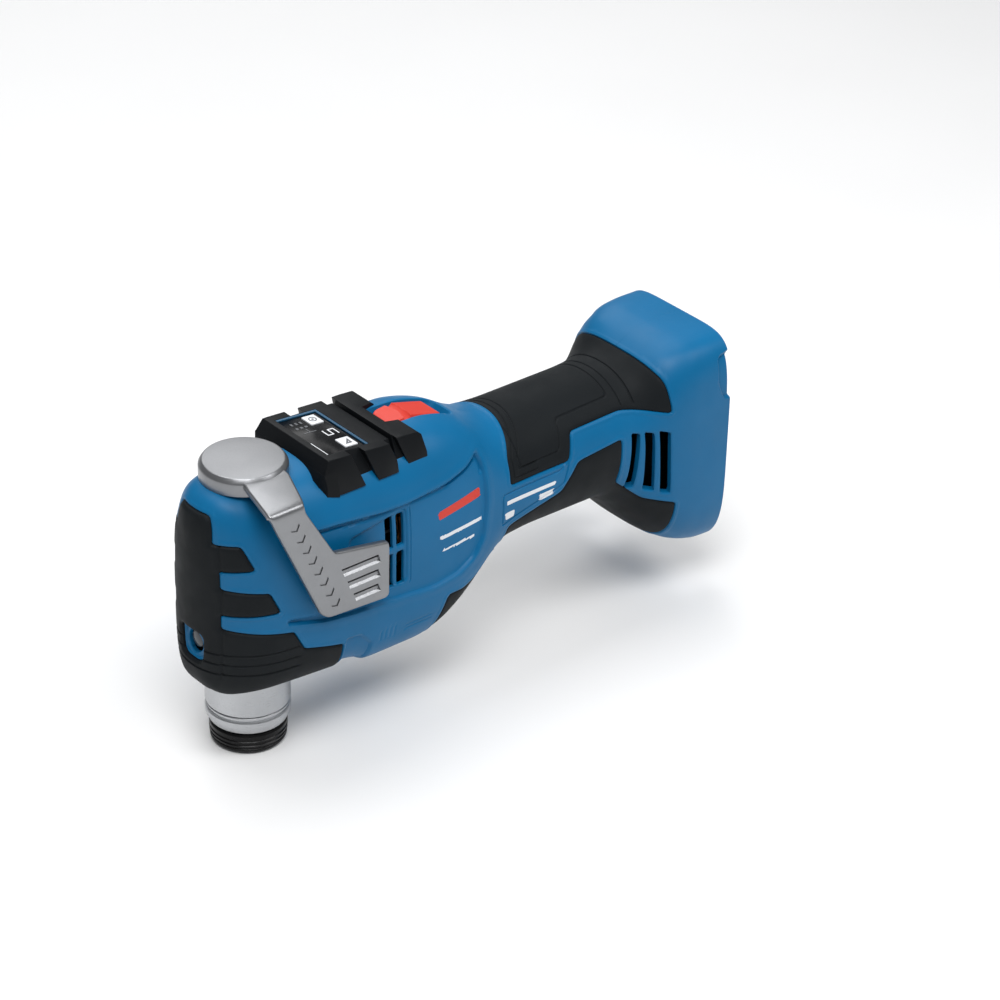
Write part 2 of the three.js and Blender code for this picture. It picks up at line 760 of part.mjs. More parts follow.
function displayFrame() {
  const { x0, x1 } = DISPLAY;
  const blank = prismX(hoodProfile(DISPLAY), x0, x1);
  const slopeFront = prismY(
    [
      [x0 - 0.5, 96],
      [x0 - 0.5, 112],
      [DISPLAY.frontX + 0.6, 112],
    ],
    -30,
    30,
  );
  const slopeTop = prismY(
    [
      [x0 - 2, screenZ(x0 - 2, 0)],
      [x0 - 2, 114],
      [x1 + 2, 114],
      [x1 + 2, screenZ(x1 + 2, 0)],
    ],
    -30,
    30,
  );
  const notches = [-1, 1].map((side) => sideBox(side, 39.4, 41.4, 16, 24, 90, 120));
  const { recess, thickness } = SCREEN;
  const well = screenSlab(-GAP, recess + thickness + GAP, -9);
  const hollow = box(24, 45.6, -15, 15, 96, 104.6);
  const keyHoles = Object.values(KEYS).map(keyOpening);
  return cut(blank, slopeFront, slopeTop, ...notches, well, hollow, ...keyHoles);
}

// A slab parallel to the display's top face, between two depths below it.
function screenSlab(inset, lower, upper) {
  const [a, b, w] = [SCREEN.x0 + inset, SCREEN.x1 - inset, SCREEN.w - inset];
  const outline = [
    [a, screenZ(a, lower)],
    [a, screenZ(a, upper)],
    [b, screenZ(b, upper)],
    [b, screenZ(b, lower)],
  ];
  return prismY(outline, -w, w);
}

const keyOpening = ([x0, x1, y0, y1]) => box(x0 - GAP, x1 + GAP, y0 - GAP, y1 + GAP, 104, 120);

function displayGlass() {
  const pane = screenSlab(0, SCREEN.recess + SCREEN.thickness, SCREEN.recess);
  return cut(pane, ...Object.values(KEYS).map(keyOpening));
}

function displayKey([x0, x1, y0, y1]) {
  const face = [
    [x0, 105.4],
    [x0, screenZ(x0, SCREEN.recess - 0.3)],
    [x1, screenZ(x1, SCREEN.recess - 0.3)],
    [x1, 105.4],
  ];
  return join(prismY(face, y0, y1), box(x0 + 1.4, x1 - 1.4, y0 + 1.8, y1 - 1.8, 101.9, 106));
}

const displayBoard = () => box(24.6, 45, -14.4, 14.4, 99.6, 101.2);

// Guard block behind the display, with a notch at its back for the slider.
function rearGuard() {
  const { x0, x1, notchX } = GUARD;
  const blank = prismX(hoodProfile(GUARD), x0, x1);
  const slope = prismY(
    [
      [x0 - 1, 108.6],
      [x0 - 1, 112],
      [x1 + 1, 112],
      [x1 + 1, 105.2],
    ],
    -30,
    30,
  );
  const notch = prismZ(
    [
      [notchX, -6.4, 1],
      [x1 + 3, -8.6, 0],
      [x1 + 3, 8.6, 0],
      [notchX, 6.4, 1],
    ],
    98,
    120,
  );
  return cut(blank, slope, notch);
}

// ---------- slide switch ----------
function slideSwitch() {
  const { x0, x1, w, bottom } = SLIDER;
  const side = [
    [x0, bottom, 0],
    [x0 + 0.4, 104.6, 1],
    [x0 + 3, 105.3, 1],
    [x0 + 7.4, 106.5, 1.2],
    [x0 + 9, 106.2, 1],
    [x0 + 10.8, 105, 1],
    [x0 + 19.6, 103.5, 1],
    [x1, 102.3, 0],
    [x1, bottom, 0],
  ];
  const plan = [
    [x0, -3.6, 1.5],
    [x0 + 4, -w, 2],
    [x1 - 2.4, -w, 0],
    [x1, -w + 0.6, 0.4],
    [x1, w - 0.6, 0.4],
    [x1 - 2.4, w, 0],
    [x0 + 4, w, 2],
    [x0, 3.6, 1.5],
  ];
  return meet(prismY(side, -10, 10), prismZ(plan, 95, 112));
}

// The link under the slider that reaches the switch.
function switchLink() {
  const { x0 } = SLIDER;
  const block = box(x0 + 9, x0 + 17, -3.4, 3.4, 98.2, 101);
  const finger = box(x0 + 7.6, x0 + 15, -1.6, 1.6, 97.1, 98.6);
  return join(block, finger);
}

// ---------- lever ----------
function lever() {
  const { r, flatR, top, bottom } = CAP;
  const cap = turned(
    [
      [0, bottom],
      [r, bottom],
      [r, top - 1.8],
      [flatR, top],
      [0, top],
    ],
    SHOWN_SIDES,
  );
  const { outer, inner, slopeTop } = LEVER;
  const slopePlan = [
    [-8.2, -9, 0],
    [7.4, -11, 0],
    [7.6, -15, 0],
    [2.2, outer, 0],
    [-12.2, outer, 0],
    [-9.8, -15, 0],
  ];
  const slopeSide = [
    [-9, slopeTop, 0],
    [-15.5, slopeTop, 2],
    [outer + 1.5, 106.9, 2],
    [outer, 104, 1],
    [outer, 100, 0],
    [inner, 100, 0],
    [inner, 103.2, 1],
    [-25.6, 104.7, 2],
    [-9, 105.6, 0],
  ];
  const slope = meet(prismZ(slopePlan, 98, 112), prismX(slopeSide, -20, 20));
  const plate = prismY(
    [
      [-12, 106.4, 0.6],
      [2, 105.4, 0.6],
      [14.4, 82.6, 3],
      [37.8, 78.6, 2.4],
      [38, 56, 2.4],
      [9.6, 58.2, 3],
      [-12.6, 101, 0.6],
    ],
    outer,
    inner,
  );
  const lip = prismY(
    [
      [14, 84, 2],
      [38, 80, 2],
      [38, 77.6, 0],
      [14, 81, 0],
    ],
    outer,
    inner,
  );
  return join(cap, slope, plate, lip);
}

const releaseCam = () =>
  turned(
    [
      [2.6, 95.4],
      [7.4, 95.4],
      [7.4, CAP.bottom - GAP],
      [0, CAP.bottom - GAP],
      [0, 101.4],
      [2.6, 101.4],
    ],
  );

const hubBush = () => ring(7.7, 11.2, 94.7, 103.2);

// ---------- LED, screws, cables ----------
const ledLens = () => alongX(disc(LED.r, LED.x0, LED.x1), LED.z);

function housingScrew(x, z) {
  const { headR, shankR, length } = SCREW;
  const head = disc(headR, 12.4, 14.8, 14);
  const shank = disc(shankR, 14.8 - length, 12.6, 10);
  const socket = disc(1.4, 13.4, 16, 6);
  return alongY(cut(join(head, shank), socket), x, z);
}

// The three motor leads as one sleeved loom along the bottom of the grip.
const motorLoom = () =>
  cable(
    [
      [91.4, 0, 53],
      [97, 0, 54],
      [104, 0, 55],
      [140, 0, 56],
      [155, 0, 60],
      [160, 0, 61],
    ],
    2,
    14,
  );

// ---------- materials ----------
const LOOKS = {
  blue_shell: { color: 0x155e97, roughness: 0.45, metalness: 0 },
  black_rubber: { color: 0x1d2124, roughness: 0.75, metalness: 0 },
  black_plastic: { color: 0x16181a, roughness: 0.5, metalness: 0 },
  cast_silver: { color: 0xb4b6b9, roughness: 0.4, metalness: 0.9 },
  neck_silver: { color: 0x9da0a4, roughness: 0.35, metalness: 0.9 },
  holder_black: { color: 0x0c0c0d, roughness: 0.35, metalness: 0.6 },
  steel: { color: 0x8b8e92, roughness: 0.3, metalness: 1 },
  red_plastic: { color: 0xee4a2c, roughness: 0.4, metalness: 0 },
  screen: { color: 0x070a0e, roughness: 0.12, metalness: 0 },
  key_white: { color: 0xe8eaec, roughness: 0.4, metalness: 0 },
  board_green: { color: 0x14532f, roughness: 0.5, metalness: 0 },
  copper: { color: 0xb87333, roughness: 0.35, metalness: 1 },
  core_steel: { color: 0x55585c, roughness: 0.5, metalness: 0.9 },
  magnet: { color: 0x3a3b3e, roughness: 0.3, metalness: 0.9 },
  brass: { color: 0xc4a045, roughness: 0.3, metalness: 1 },
  cable_black: { color: 0x151515, roughness: 0.6, metalness: 0 },
  lens: { color: 0xdfe9ee, roughness: 0.08, metalness: 0 },
  felt: { color: 0x5a5a5a, roughness: 0.9, metalness: 0 },
};
const MATERIALS = Object.fromEntries(
  Object.entries(LOOKS).map(([name, look]) => [name, new THREE.MeshStandardMaterial({ name, ...look })]),
);

// ---------- assembly ----------
const tool = new THREE.Group();
function add(name, solid, look) {
  const mesh = new THREE.Mesh(geometryOf(solid), MATERIALS[look]);
  mesh.name = name;
  tool.add(mesh);
}

add("housing_left", housingShell(-1), "blue_shell");
add("housing_right", housingShell(1), "blue_shell");
add("nose_pad", nosePad(), "black_rubber");
add("belly_pad", bellyPad(), "black_rubber");
add("grip_pad", padSolid(GRIP_PAD), "black_rubber");
add("under_grip_pad", padSolid(UNDER_PAD), "black_rubber");

add("tool_holder", toolHolder(), "holder_black");
add("spindle", spindle(), "steel");
add("clamp_rod", clampRod(), "steel");
add("clamp_spring", clampSpring(), "steel");
add("clamp_jaw_rear", clampJaw(1), "steel");
add("clamp_jaw_front", clampJaw(-1), "steel");
add("jaw_pin_rear", jawPin(1), "steel");
add("jaw_pin_front", jawPin(-1), "steel");
add("oscillating_fork", fork(), "steel");

add("gear_housing", gearHousing(), "neck_silver");
add("gear_cover", gearCover(), "neck_silver");
COVER_SCREWS.forEach(([x, y], i) => add(`gear_cover_screw_${i + 1}`, coverScrew(x, y), "steel"));
add("neck_collar", neckCollar(), "neck_silver");
add("felt_seal", sealRing(), "felt");
add("lower_spindle_bearing", sealedBearing(SPINDLE.r + 0.1, 12.1, 29.8, 39), "steel");
add("upper_spindle_bearing", sealedBearing(SPINDLE.r + 0.1, 11.6, 82.8, 92), "steel");

add("rotor_shaft", rotorShaft(), "steel");
add("eccentric_bearing", eccentricBearing(), "steel");
add("counterweight", counterweight(), "brass");
add("front_motor_bearing", onMotorAxis(sealedBearing(MOTOR.shaftR + 0.1, 9, 35.9, 40.7)), "steel");
add("cooling_fan", fan(), "black_plastic");
add("stator_core", statorCore(), "core_steel");
add("stator_winding", statorWinding(), "copper");
add("rotor_core", rotorCore(), "core_steel");
add("rotor_magnet", rotorMagnet(), "magnet");
add("sensor_board", sensorBoard(), "board_green");
add("rear_motor_bearing", onMotorAxis(sealedBearing(MOTOR.shaftR + 0.1, 8, 89, 93.7)), "steel");
add("rear_bearing_bracket", rearBracket(), "cast_silver");

add("control_module", controlModule(), "black_plastic");
add("switch_module", switchModule(), "black_plastic");
add("battery_shoe", batteryShoe(), "black_plastic");
CONTACT_Y.forEach((y, i) => add(CONTACT_NAMES[i], contactBlade(y), "brass"));
add("motor_loom", motorLoom(), "cable_black");

add("display_frame", displayFrame(), "black_plastic");
add("display_glass", displayGlass(), "screen");
for (const [name, key] of Object.entries(KEYS)) add(name, displayKey(key), "key_white");
add("display_board", displayBoard(), "board_green");
add("rear_guard", rearGuard(), "black_plastic");
add("slide_switch", slideSwitch(), "red_plastic");
add("switch_link", switchLink(), "red_plastic");

add("release_lever", lever(), "cast_silver");
add("release_cam", releaseCam(), "steel");
add("hub_bush", hubBush(), "brass");
add("work_light_lens", ledLens(), "lens");
SCREW_SPOTS.forEach(([x, z], i) => add(`housing_screw_${i + 1}`, housingScrew(x, z), "steel"));

export default tool;
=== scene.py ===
"""Looks of the cordless oscillating multi-tool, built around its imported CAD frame.

All making is in millimetres in the CAD frame: +Z up the spindle axis, +X back along the grip.
Meshes are scaled to metres when they become objects.
"""

import json
import math
from contextlib import contextmanager

import bmesh
import bpy
import numpy as np
from mathutils import Matrix, Vector


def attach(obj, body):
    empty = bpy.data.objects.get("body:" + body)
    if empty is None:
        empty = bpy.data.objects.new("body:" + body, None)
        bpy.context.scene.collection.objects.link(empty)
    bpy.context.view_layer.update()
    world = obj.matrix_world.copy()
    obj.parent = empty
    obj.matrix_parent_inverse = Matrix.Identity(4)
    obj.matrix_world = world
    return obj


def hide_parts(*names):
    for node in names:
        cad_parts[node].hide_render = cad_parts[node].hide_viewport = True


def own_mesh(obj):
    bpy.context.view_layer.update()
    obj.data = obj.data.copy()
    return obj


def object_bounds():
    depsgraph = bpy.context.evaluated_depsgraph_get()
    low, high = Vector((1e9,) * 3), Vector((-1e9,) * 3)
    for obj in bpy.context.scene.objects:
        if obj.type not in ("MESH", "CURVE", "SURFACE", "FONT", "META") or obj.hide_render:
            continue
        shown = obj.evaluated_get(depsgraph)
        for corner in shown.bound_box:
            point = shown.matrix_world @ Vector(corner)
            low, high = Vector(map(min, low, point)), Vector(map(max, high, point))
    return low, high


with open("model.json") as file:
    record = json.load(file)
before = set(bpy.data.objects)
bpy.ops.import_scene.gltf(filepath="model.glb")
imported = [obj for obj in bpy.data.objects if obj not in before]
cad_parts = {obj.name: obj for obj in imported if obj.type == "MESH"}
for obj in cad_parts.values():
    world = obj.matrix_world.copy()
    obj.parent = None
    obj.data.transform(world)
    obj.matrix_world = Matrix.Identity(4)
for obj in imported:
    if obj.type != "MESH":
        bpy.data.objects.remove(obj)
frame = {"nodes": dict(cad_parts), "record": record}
cad_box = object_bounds()

MM = 0.001

# ---------- camera ----------
CAMERA_PLACE = (-574.94, -797.00, 684.985)
CAMERA_AZIMUTH = -40.8
CAMERA_PITCH = 31.0
CAMERA_ROLL = 1.48
CAMERA_LENS = 123.084
SENSOR_WIDTH = 36
CLIP_START, CLIP_END = 0.01, 20


def make_camera():
    data = bpy.data.cameras.new("camera")
    data.lens = CAMERA_LENS
    data.sensor_width = SENSOR_WIDTH
    data.clip_start = CLIP_START
    data.clip_end = CLIP_END
    camera = bpy.data.objects.new("camera", data)
    bpy.context.scene.collection.objects.link(camera)
    azimuth, pitch, roll = map(math.radians, (CAMERA_AZIMUTH, CAMERA_PITCH, CAMERA_ROLL))
    heading = Vector((-math.sin(azimuth), math.cos(azimuth), 0))
    forward = heading * math.cos(pitch) - Vector((0, 0, math.sin(pitch)))
    right = forward.cross(Vector((0, 0, 1))).normalized()
    up = right.cross(forward)
    turned_right = right * math.cos(roll) + up * math.sin(roll)
    turned_up = up * math.cos(roll) - right * math.sin(roll)
    rotation = Matrix((turned_right, turned_up, -forward)).transposed()
    camera.matrix_world = Matrix.Translation(Vector(CAMERA_PLACE) * MM) @ rotation.to_4x4()
    bpy.context.scene.camera = camera


# ---------- materials ----------
def new_material(name, colour, roughness, metallic=0.0, **sockets):
    """A Principled material with its constants set on the shader's own sockets."""
    material = bpy.data.materials.new(name)
    material.use_nodes = True
    shader = material.node_tree.nodes["Principled BSDF"]
    shader.inputs["Base Color"].default_value = (*colour, 1)
    shader.inputs["Roughness"].default_value = roughness
    shader.inputs["Metallic"].default_value = metallic
    for socket, value in sockets.items():
        shader.inputs[socket.replace("_", " ")].default_value = value
    return material


def new_node(material, kind, **sockets):
    """A shader node with some of its inputs set."""
    node = material.node_tree.nodes.new("ShaderNode" + kind)
    for socket, value in sockets.items():
        node.inputs[socket.replace("_", " ")].default_value = value
    return node


def noise(material, scale, detail=3.0, stretch=(1, 1, 1)):
    """Noise over object coordinates; scale is in cycles per metre."""
    links = material.node_tree.links
    coordinates = new_node(material, "TexCoord")
    mapping = new_node(material, "Mapping", Scale=stretch)
    texture = new_node(material, "TexNoise", Scale=scale, Detail=detail)
    links.new(coordinates.outputs["Object"], mapping.inputs["Vector"])
    links.new(mapping.outputs["Vector"], texture.inputs["Vector"])
    return texture.outputs["Fac"]


RAMP_FROM, RAMP_TO = 0.3, 0.7


def ramp(material, source, low, high):
    """Maps the noise's middle range to low..high, for a number or a colour."""
    links = material.node_tree.links
    if isinstance(low, tuple):
        node = new_node(material, "ValToRGB")
        for element, place, colour in zip(node.color_ramp.elements, (RAMP_FROM, RAMP_TO), (low, high)):
            element.position = place
            element.color = (*colour, 1)
        links.new(source, node.inputs["Fac"])
        return node.outputs["Color"]
    node = new_node(material, "MapRange", From_Min=RAMP_FROM, From_Max=RAMP_TO, To_Min=low, To_Max=high)
    links.new(source, node.inputs["Value"])
    return node.outputs["Result"]


def drive(material, socket, output):
    shader = material.node_tree.nodes["Principled BSDF"]
    material.node_tree.links.new(output, shader.inputs[socket])


def vary_colour(material, colour, spread, texture):
    """Lets the base colour wander by the given share either way."""
    low = tuple(c * (1 - spread) for c in colour)
    high = tuple(min(1, c * (1 + spread)) for c in colour)
    drive(material, "Base Color", ramp(material, texture, low, high))


def bump(material, height, distance):
    """Adds a bump of the given height in millimetres."""
    node = new_node(material, "Bump", Distance=distance * MM)
    material.node_tree.links.new(height, node.inputs["Height"])
    drive(material, "Normal", node.outputs["Normal"])


# scale and detail of the noise behind colour and gloss
COLOUR_CLOUDS = (45, 5)
GLOSS_CLOUDS = (130, 4)
METAL_CLOUDS = (60, 4)


def moulded(name, colour, roughness, grain=2200, depth=0.02, spread=0.12, **sockets):
    """Moulded plastic or rubber: fine spark-eroded grain, slight colour and gloss variation."""
    material = new_material(name, colour, roughness, **sockets)
    vary_colour(material, colour, spread, noise(material, *COLOUR_CLOUDS))
    gloss = ramp(material, noise(material, *GLOSS_CLOUDS), roughness - 0.05, roughness + 0.05)
    drive(material, "Roughness", gloss)
    bump(material, noise(material, grain, 2), depth)
    return material


def metal(
    name, colour, roughness, stretch=(1, 1, 1), grain=900, depth=0.008, spread=0.06, metallic=1.0
):
    """Worked metal: streaks along one direction in gloss and bump."""
    material = new_material(name, colour, roughness, metallic)
    streaks = noise(material, grain, 3, stretch)
    vary_colour(material, colour, spread, noise(material, *METAL_CLOUDS))
    drive(material, "Roughness", ramp(material, streaks, roughness - 0.06, roughness + 0.06))
    bump(material, streaks, depth)
    return material


BLUE = (0.001, 0.122, 0.285)
# base colour, roughness and the settings that differ from the usual ones
MOULDED = {
    "blue_shell": (BLUE, 0.42, dict(grain=2600, depth=0.012, spread=0.05, Specular_IOR_Level=0.22)),
    "black_rubber": (
        (0.0072, 0.0092, 0.0108), 0.58,
        dict(grain=2400, depth=0.03, Specular_IOR_Level=0.12),
    ),
    "black_plastic": (
        (0.0040, 0.0050, 0.0062), 0.45,
        dict(grain=2400, depth=0.015, Specular_IOR_Level=0.14),
    ),
    "red_plastic": ((0.60, 0.040, 0.024), 0.38, dict(depth=0.01, spread=0.04, Specular_IOR_Level=0.3)),
    "screen": ((0.0022, 0.0026, 0.0034), 0.24, dict(grain=300, depth=0.002, Specular_IOR_Level=0.2)),
    "key_white": ((0.74, 0.76, 0.79), 0.42, dict(depth=0.008, spread=0.03)),
    "icon_line": ((0.10, 0.105, 0.115), 0.5, dict(depth=0.004, spread=0.03)),
    "screen_blue": ((0.003, 0.065, 0.14), 0.35, dict(depth=0.006)),
    "board_green": ((0.010, 0.085, 0.035), 0.4, {}),
    "cable_black": ((0.012, 0.012, 0.012), 0.6, {}),
    "lens": ((0.045, 0.055, 0.065), 0.1, dict(depth=0.003, spread=0.02)),
    "felt": ((0.09, 0.09, 0.09), 0.95, dict(grain=900, depth=0.2)),
}
METALS = {
    "cast_silver": ((0.25, 0.255, 0.265), 0.34, dict(grain=1500, depth=0.01, metallic=0.85)),
    "neck_silver": ((0.46, 0.47, 0.485), 0.32, dict(stretch=(1, 1, 14), grain=300, metallic=0.9)),
    "holder_black": ((0.003, 0.003, 0.0035), 0.30, dict(stretch=(1, 1, 10), metallic=0.6)),
    "steel": ((0.42, 0.43, 0.44), 0.28, dict(stretch=(1, 1, 8))),
    "copper": ((0.62, 0.27, 0.12), 0.33, dict(stretch=(6, 1, 1))),
    "core_steel": ((0.16, 0.165, 0.17), 0.5, dict(stretch=(9, 1, 1))),
    "magnet": ((0.09, 0.09, 0.10), 0.35, {}),
    "brass": ((0.66, 0.48, 0.18), 0.3, dict(stretch=(1, 1, 6))),
}
LOOKS = {name: moulded(name, *look, **settings) for name, (*look, settings) in MOULDED.items()}
LOOKS |= {name: metal(name, *look, **settings) for name, (*look, settings) in METALS.items()}

# ---------- outlines on the side, as (x, z) ----------
NOSE_PAD = [
    (-30, 99), (-19.5, 99), (-20.5, 89), (-14, 89), (-10.6, 80), (-19.6, 79.2), (-19.6, 72.4),
    (-6.4, 70.6), (-2.6, 62.2), (-19.6, 62.2), (-19.6, 56.8), (2.2, 52.8), (6.4, 44.6),
    (22.4, 40.4), (23.4, 20), (-30, 20),
]
BELLY_PAD = [(68.8, 42.2), (76, 41.4), (84, 43.6), (91, 49.6), (95, 46), (95, 18), (61, 18)]
GRIP_PAD = [
    (109, 100), (98.5, 84), (97.5, 75), (125, 75), (128.5, 84), (152, 84.4), (170, 80.6),
    (169, 92), (163, 104),
]
UNDER_PAD = [
    (97, 58), (121, 64), (129, 73.4), (150, 75), (148.6, 57), (160, 47), (173.4, 42.4),
    (173.4, 8), (99, 8),
]
SIDE_PANEL = [
    (5, 88.8), (20.8, 88.1), (40.4, 85.9), (50.4, 85.6), (67.2, 87.1), (77.4, 89.5), (84.6, 92.8),
    (86.2, 88), (86, 72), (84.6, 60), (80.6, 53.2), (73.5, 49.4), (61.5, 48.2), (43.8, 50.2),
    (27, 51.4), (14, 53.2), (0, 56.4), (0, 58.2), (12, 56.6), (9, 72),
]
LOWER_STEP = [(23.4, 42.2), (30.4, 41.4), (35.6, 35.4), (35.6, 20), (23.4, 20)]
# plain printed stripes in place of any lettering
RED_STRIPES = [[(64.6, 73.6), (83.6, 76.4), (83.6, 80.0), (64.4, 76.8)]]
WHITE_STRIPES = [
    [(65.3, 65.4), (84.2, 66.6), (84.2, 68.0), (65.2, 66.8)],
    [(66.2, 60.4), (80.8, 61.2), (80.8, 62.0), (66.2, 61.2)],
    [(95.4, 68.2), (118.0, 68.4), (118.4, 69.8), (95.2, 69.8)],
    [(94.8, 62.3), (99.0, 62.5), (99.0, 65.2), (94.6, 65.2)],
    [(110.8, 64.2), (117.0, 64.8), (117.2, 67.0), (110.6, 66.8)],
]
LEVER_POCKET = [(22, 54.6), (26, 80.4), (50.9, 84), (50.9, 54.6)]
BADGE = [(93.5, 72.6), (121, 72.8), (126.6, 79.6), (122, 67.2), (93.5, 60.4)]
VENTS = [
    [(x, z), (x + 3.2, z), (x + 3.2, z + 12.8), (x, z + 12.8)]
    for x in (41.8, 46.6)
    for z in (54.5, 69.5)
] + [
    [(154.7, 75.6), (158.3, 74.6), (156.4, 52.6), (152.7, 52.6)],
    [(160.0, 74.8), (163.5, 73.8), (164.0, 49.8), (159.9, 50.8)],
    [(165.2, 74.4), (169.4, 73.0), (170.6, 47.4), (166.4, 48.4)],
]
FOOT_RECESS = [(191.5, 96), (204, 98.5), (204, 78), (194, 79.4), (191.2, 86)]
GRIP_PANEL = [(104, 110), (103.2, 79.6), (121.4, 79.6), (125, 88.4), (150, 88.8), (150.6, 110)]
SCREW_SPOTS = [(32.5, 34.5), (82, 42), (104, 66), (140, 79.5), (177, 94), (178, 27.6)]


def rounded(corners, radius, steps=4):
    """The outline with every corner replaced by a short curve."""
    points = np.array(corners, float)
    result = []
    for before, here, after in zip(np.roll(points, 1, 0), points, np.roll(points, -1, 0)):
        sides = [before - here, after - here]
        sizes = [np.linalg.norm(side) for side in sides]
        reach = min(radius, *(size / 2.1 for size in sizes))
        start, end = (here + side / size * reach for side, size in zip(sides, sizes))
        for t in np.arange(steps + 1) / steps:
            result.append(tuple((1 - t) ** 2 * start + 2 * t * (1 - t) * here + t * t * end))
    return result


def outline_distance(corners, a, b):
    """Signed distance to a closed outline, negative inside."""
    points = np.array(corners, float)
    best = np.full(len(a), 1e9)
    inside = np.zeros(len(a), bool)
    for p, q in zip(points, np.roll(points, -1, axis=0)):
        ex, ey = q - p
        wx, wy = a - p[0], b - p[1]
        t = np.clip((wx * ex + wy * ey) / (ex * ex + ey * ey), 0, 1)
        best = np.minimum(best, (wx - t * ex) ** 2 + (wy - t * ey) ** 2)
        crosses = (p[1] > b) != (q[1] > b)
        with np.errstate(divide="ignore", invalid="ignore"):
            inside ^= crosses & (wx < ex * wy / ey)
    return np.where(inside, -1, 1) * np.sqrt(best)


def side_field(corners, radius=1.0):
    shape = rounded(corners, radius)
    return lambda p: outline_distance(shape, p[:, 0], p[:, 2])


# ---------- outer form ----------
NOSE_R = 23.2
SHOE_X = 197.0
# stations along the tool: x, half width, top, bottom, corner powers of the upper and the lower half
BODY = np.array(
    [
        [0, 24, 104.6, 27.2, 3, 4.4], [16, 26, 105.4, 26.6, 3, 4.2], [29, 26, 106, 25.6, 3, 4.2],
        [36, 26, 106.2, 22.6, 3, 4], [60, 26, 106.6, 22.4, 3, 4], [69, 26, 106.2, 24.6, 3, 3.8],
        [77, 25.8, 104.2, 28.6, 2.9, 3.4], [84, 25.4, 101.6, 33.6, 2.7, 3],
        [91, 24.8, 97.2, 40, 2.4, 2.6], [99, 24.2, 93.8, 44.6, 2.2, 2.2],
        [112, 24, 93.2, 45.2, 2.1, 2.1], [149, 24, 93.2, 44.6, 2.1, 2.1],
        [158, 24.6, 93.8, 37.4, 2.2, 2.6], [164, 26.6, 96, 30, 2.6, 3],
        [171, 28.8, 100.6, 23.4, 3.8, 3.3], [180, 29.6, 102.8, 17.6, 5.4, 3.6],
        [189, 29.6, 103, 14.4, 6, 3.8], [SHOE_X, 29.2, 103, 13.6, 6, 3.8],
    ]
)
SMOOTHING = 2.2  # along x
SMOOTH_START = -14
SMOOTH_FADE = 8
STEP = 0.25
NOSE_BULGE = 0.034
# how top and bottom close in towards the tip: column, level, drop, sharpness and drift
NOSE_CURVES = [(1, 104.6, -19, 2.2, -0.2), (2, 27.2, 17, 2.6, 0.2)]
QUARTER = 54  # columns of the form's grid in each quarter of a section
WAIST = 0.47  # share of the height at which a section is widest


def bell(step, softness, widths):
    """A bell curve with a sum of one, and how many steps it reaches either way."""
    reach = int(widths * softness / step)
    curve = np.exp(-0.5 * (np.arange(-reach, reach + 1) * step / softness) ** 2)
    return curve / curve.sum(), reach


def form_tables():
    """Half width, top, bottom and the two corner powers along x, smoothed."""
    x = np.arange(-NOSE_R, SHOE_X + STEP, STEP)
    turn = 1 - np.clip(-x / NOSE_R, 0, 1)
    ahead = x < 0
    columns = [np.interp(x, BODY[:, 0], BODY[:, i]) for i in range(1, 6)]
    circle = np.sqrt(np.clip(NOSE_R**2 - x**2, 0, None)) * (1 + NOSE_BULGE * turn**2)
    columns[0] = np.where(ahead, circle, columns[0])
    for i, level, drop, sharpness, drift in NOSE_CURVES:
        curve = 1 - np.sqrt(np.minimum(1, sharpness * turn))
        columns[i] = np.where(ahead, level + drop * curve**2 + drift * (1 - turn), columns[i])
    kernel, reach = bell(STEP, SMOOTHING, 3)
    blend = np.clip((x - SMOOTH_START) / SMOOTH_FADE, 0, 1)
    result = []
    for column in columns:
        padded = np.concatenate([np.full(reach, column[0]), column, np.full(reach, column[-1])])
        soft = np.convolve(padded, kernel, "valid")
        result.append(column * (1 - blend) + soft * blend)
    return x, result


FORM_X, FORM_COLUMNS = form_tables()


def section(x, half_width=None):
    """Points of the section at x, from the bottom round the -Y side to the top and back on +Y."""
    width, top, bottom, up, down = [float(np.interp(x, FORM_X, c)) for c in FORM_COLUMNS]
    width = half_width or width
    middle = bottom + WAIST * (top - bottom)
    angle = np.linspace(0, math.pi / 2, 400)
    quarters = []
    for power, reach in ((down, bottom - middle), (up, top - middle)):
        y = np.cos(angle) ** (2 / power) * width
        z = middle + np.sin(angle) ** (2 / power) * reach
        along = np.concatenate([[0], np.cumsum(np.hypot(np.diff(y), np.diff(z)))])
        spots = np.linspace(0, along[-1], QUARTER + 1)
        quarters.append(np.stack([np.interp(spots, along, y), np.interp(spots, along, z)], 1))
    lower, upper = quarters
    half = np.concatenate([lower[::-1], upper[1:]])
    left = np.column_stack([np.full(len(half), x), -half[:, 0], half[:, 1]])
    right = left[1:-1][::-1] * (1, -1, 1)
    return np.concatenate([left, right])


def form_rows():
    """Sections of the outer form, from the tip of the nose to the shoe."""
    angles = np.radians(np.linspace(3, 90, 34))
    rows = [section(-NOSE_R * math.cos(a), NOSE_R * math.sin(a)) for a in angles[:20]]
    rows += [section(-NOSE_R * math.cos(a)) for a in angles[20:]]
    head, grip = np.arange(1.0, 112, 1.05), np.arange(112, 150, 1.4)
    foot = np.arange(150, SHOE_X, 0.95)
    rows += [section(x) for x in (*head, *grip, *foot, SHOE_X)]
    return np.array(rows)


def smooth_normals(grid):
    """Outward normals at the points of a grid of sections."""
    along = np.gradient(grid, axis=0)
    across = (np.roll(grid, -1, 1) - np.roll(grid, 1, 1)) / 2
    normals = np.cross(across, along)
    normals /= np.linalg.norm(normals, axis=2, keepdims=True) + 1e-12
    count, around = grid.shape[:2]
    return -normals if normals[count // 2, around // 4, 1] > 0 else normals


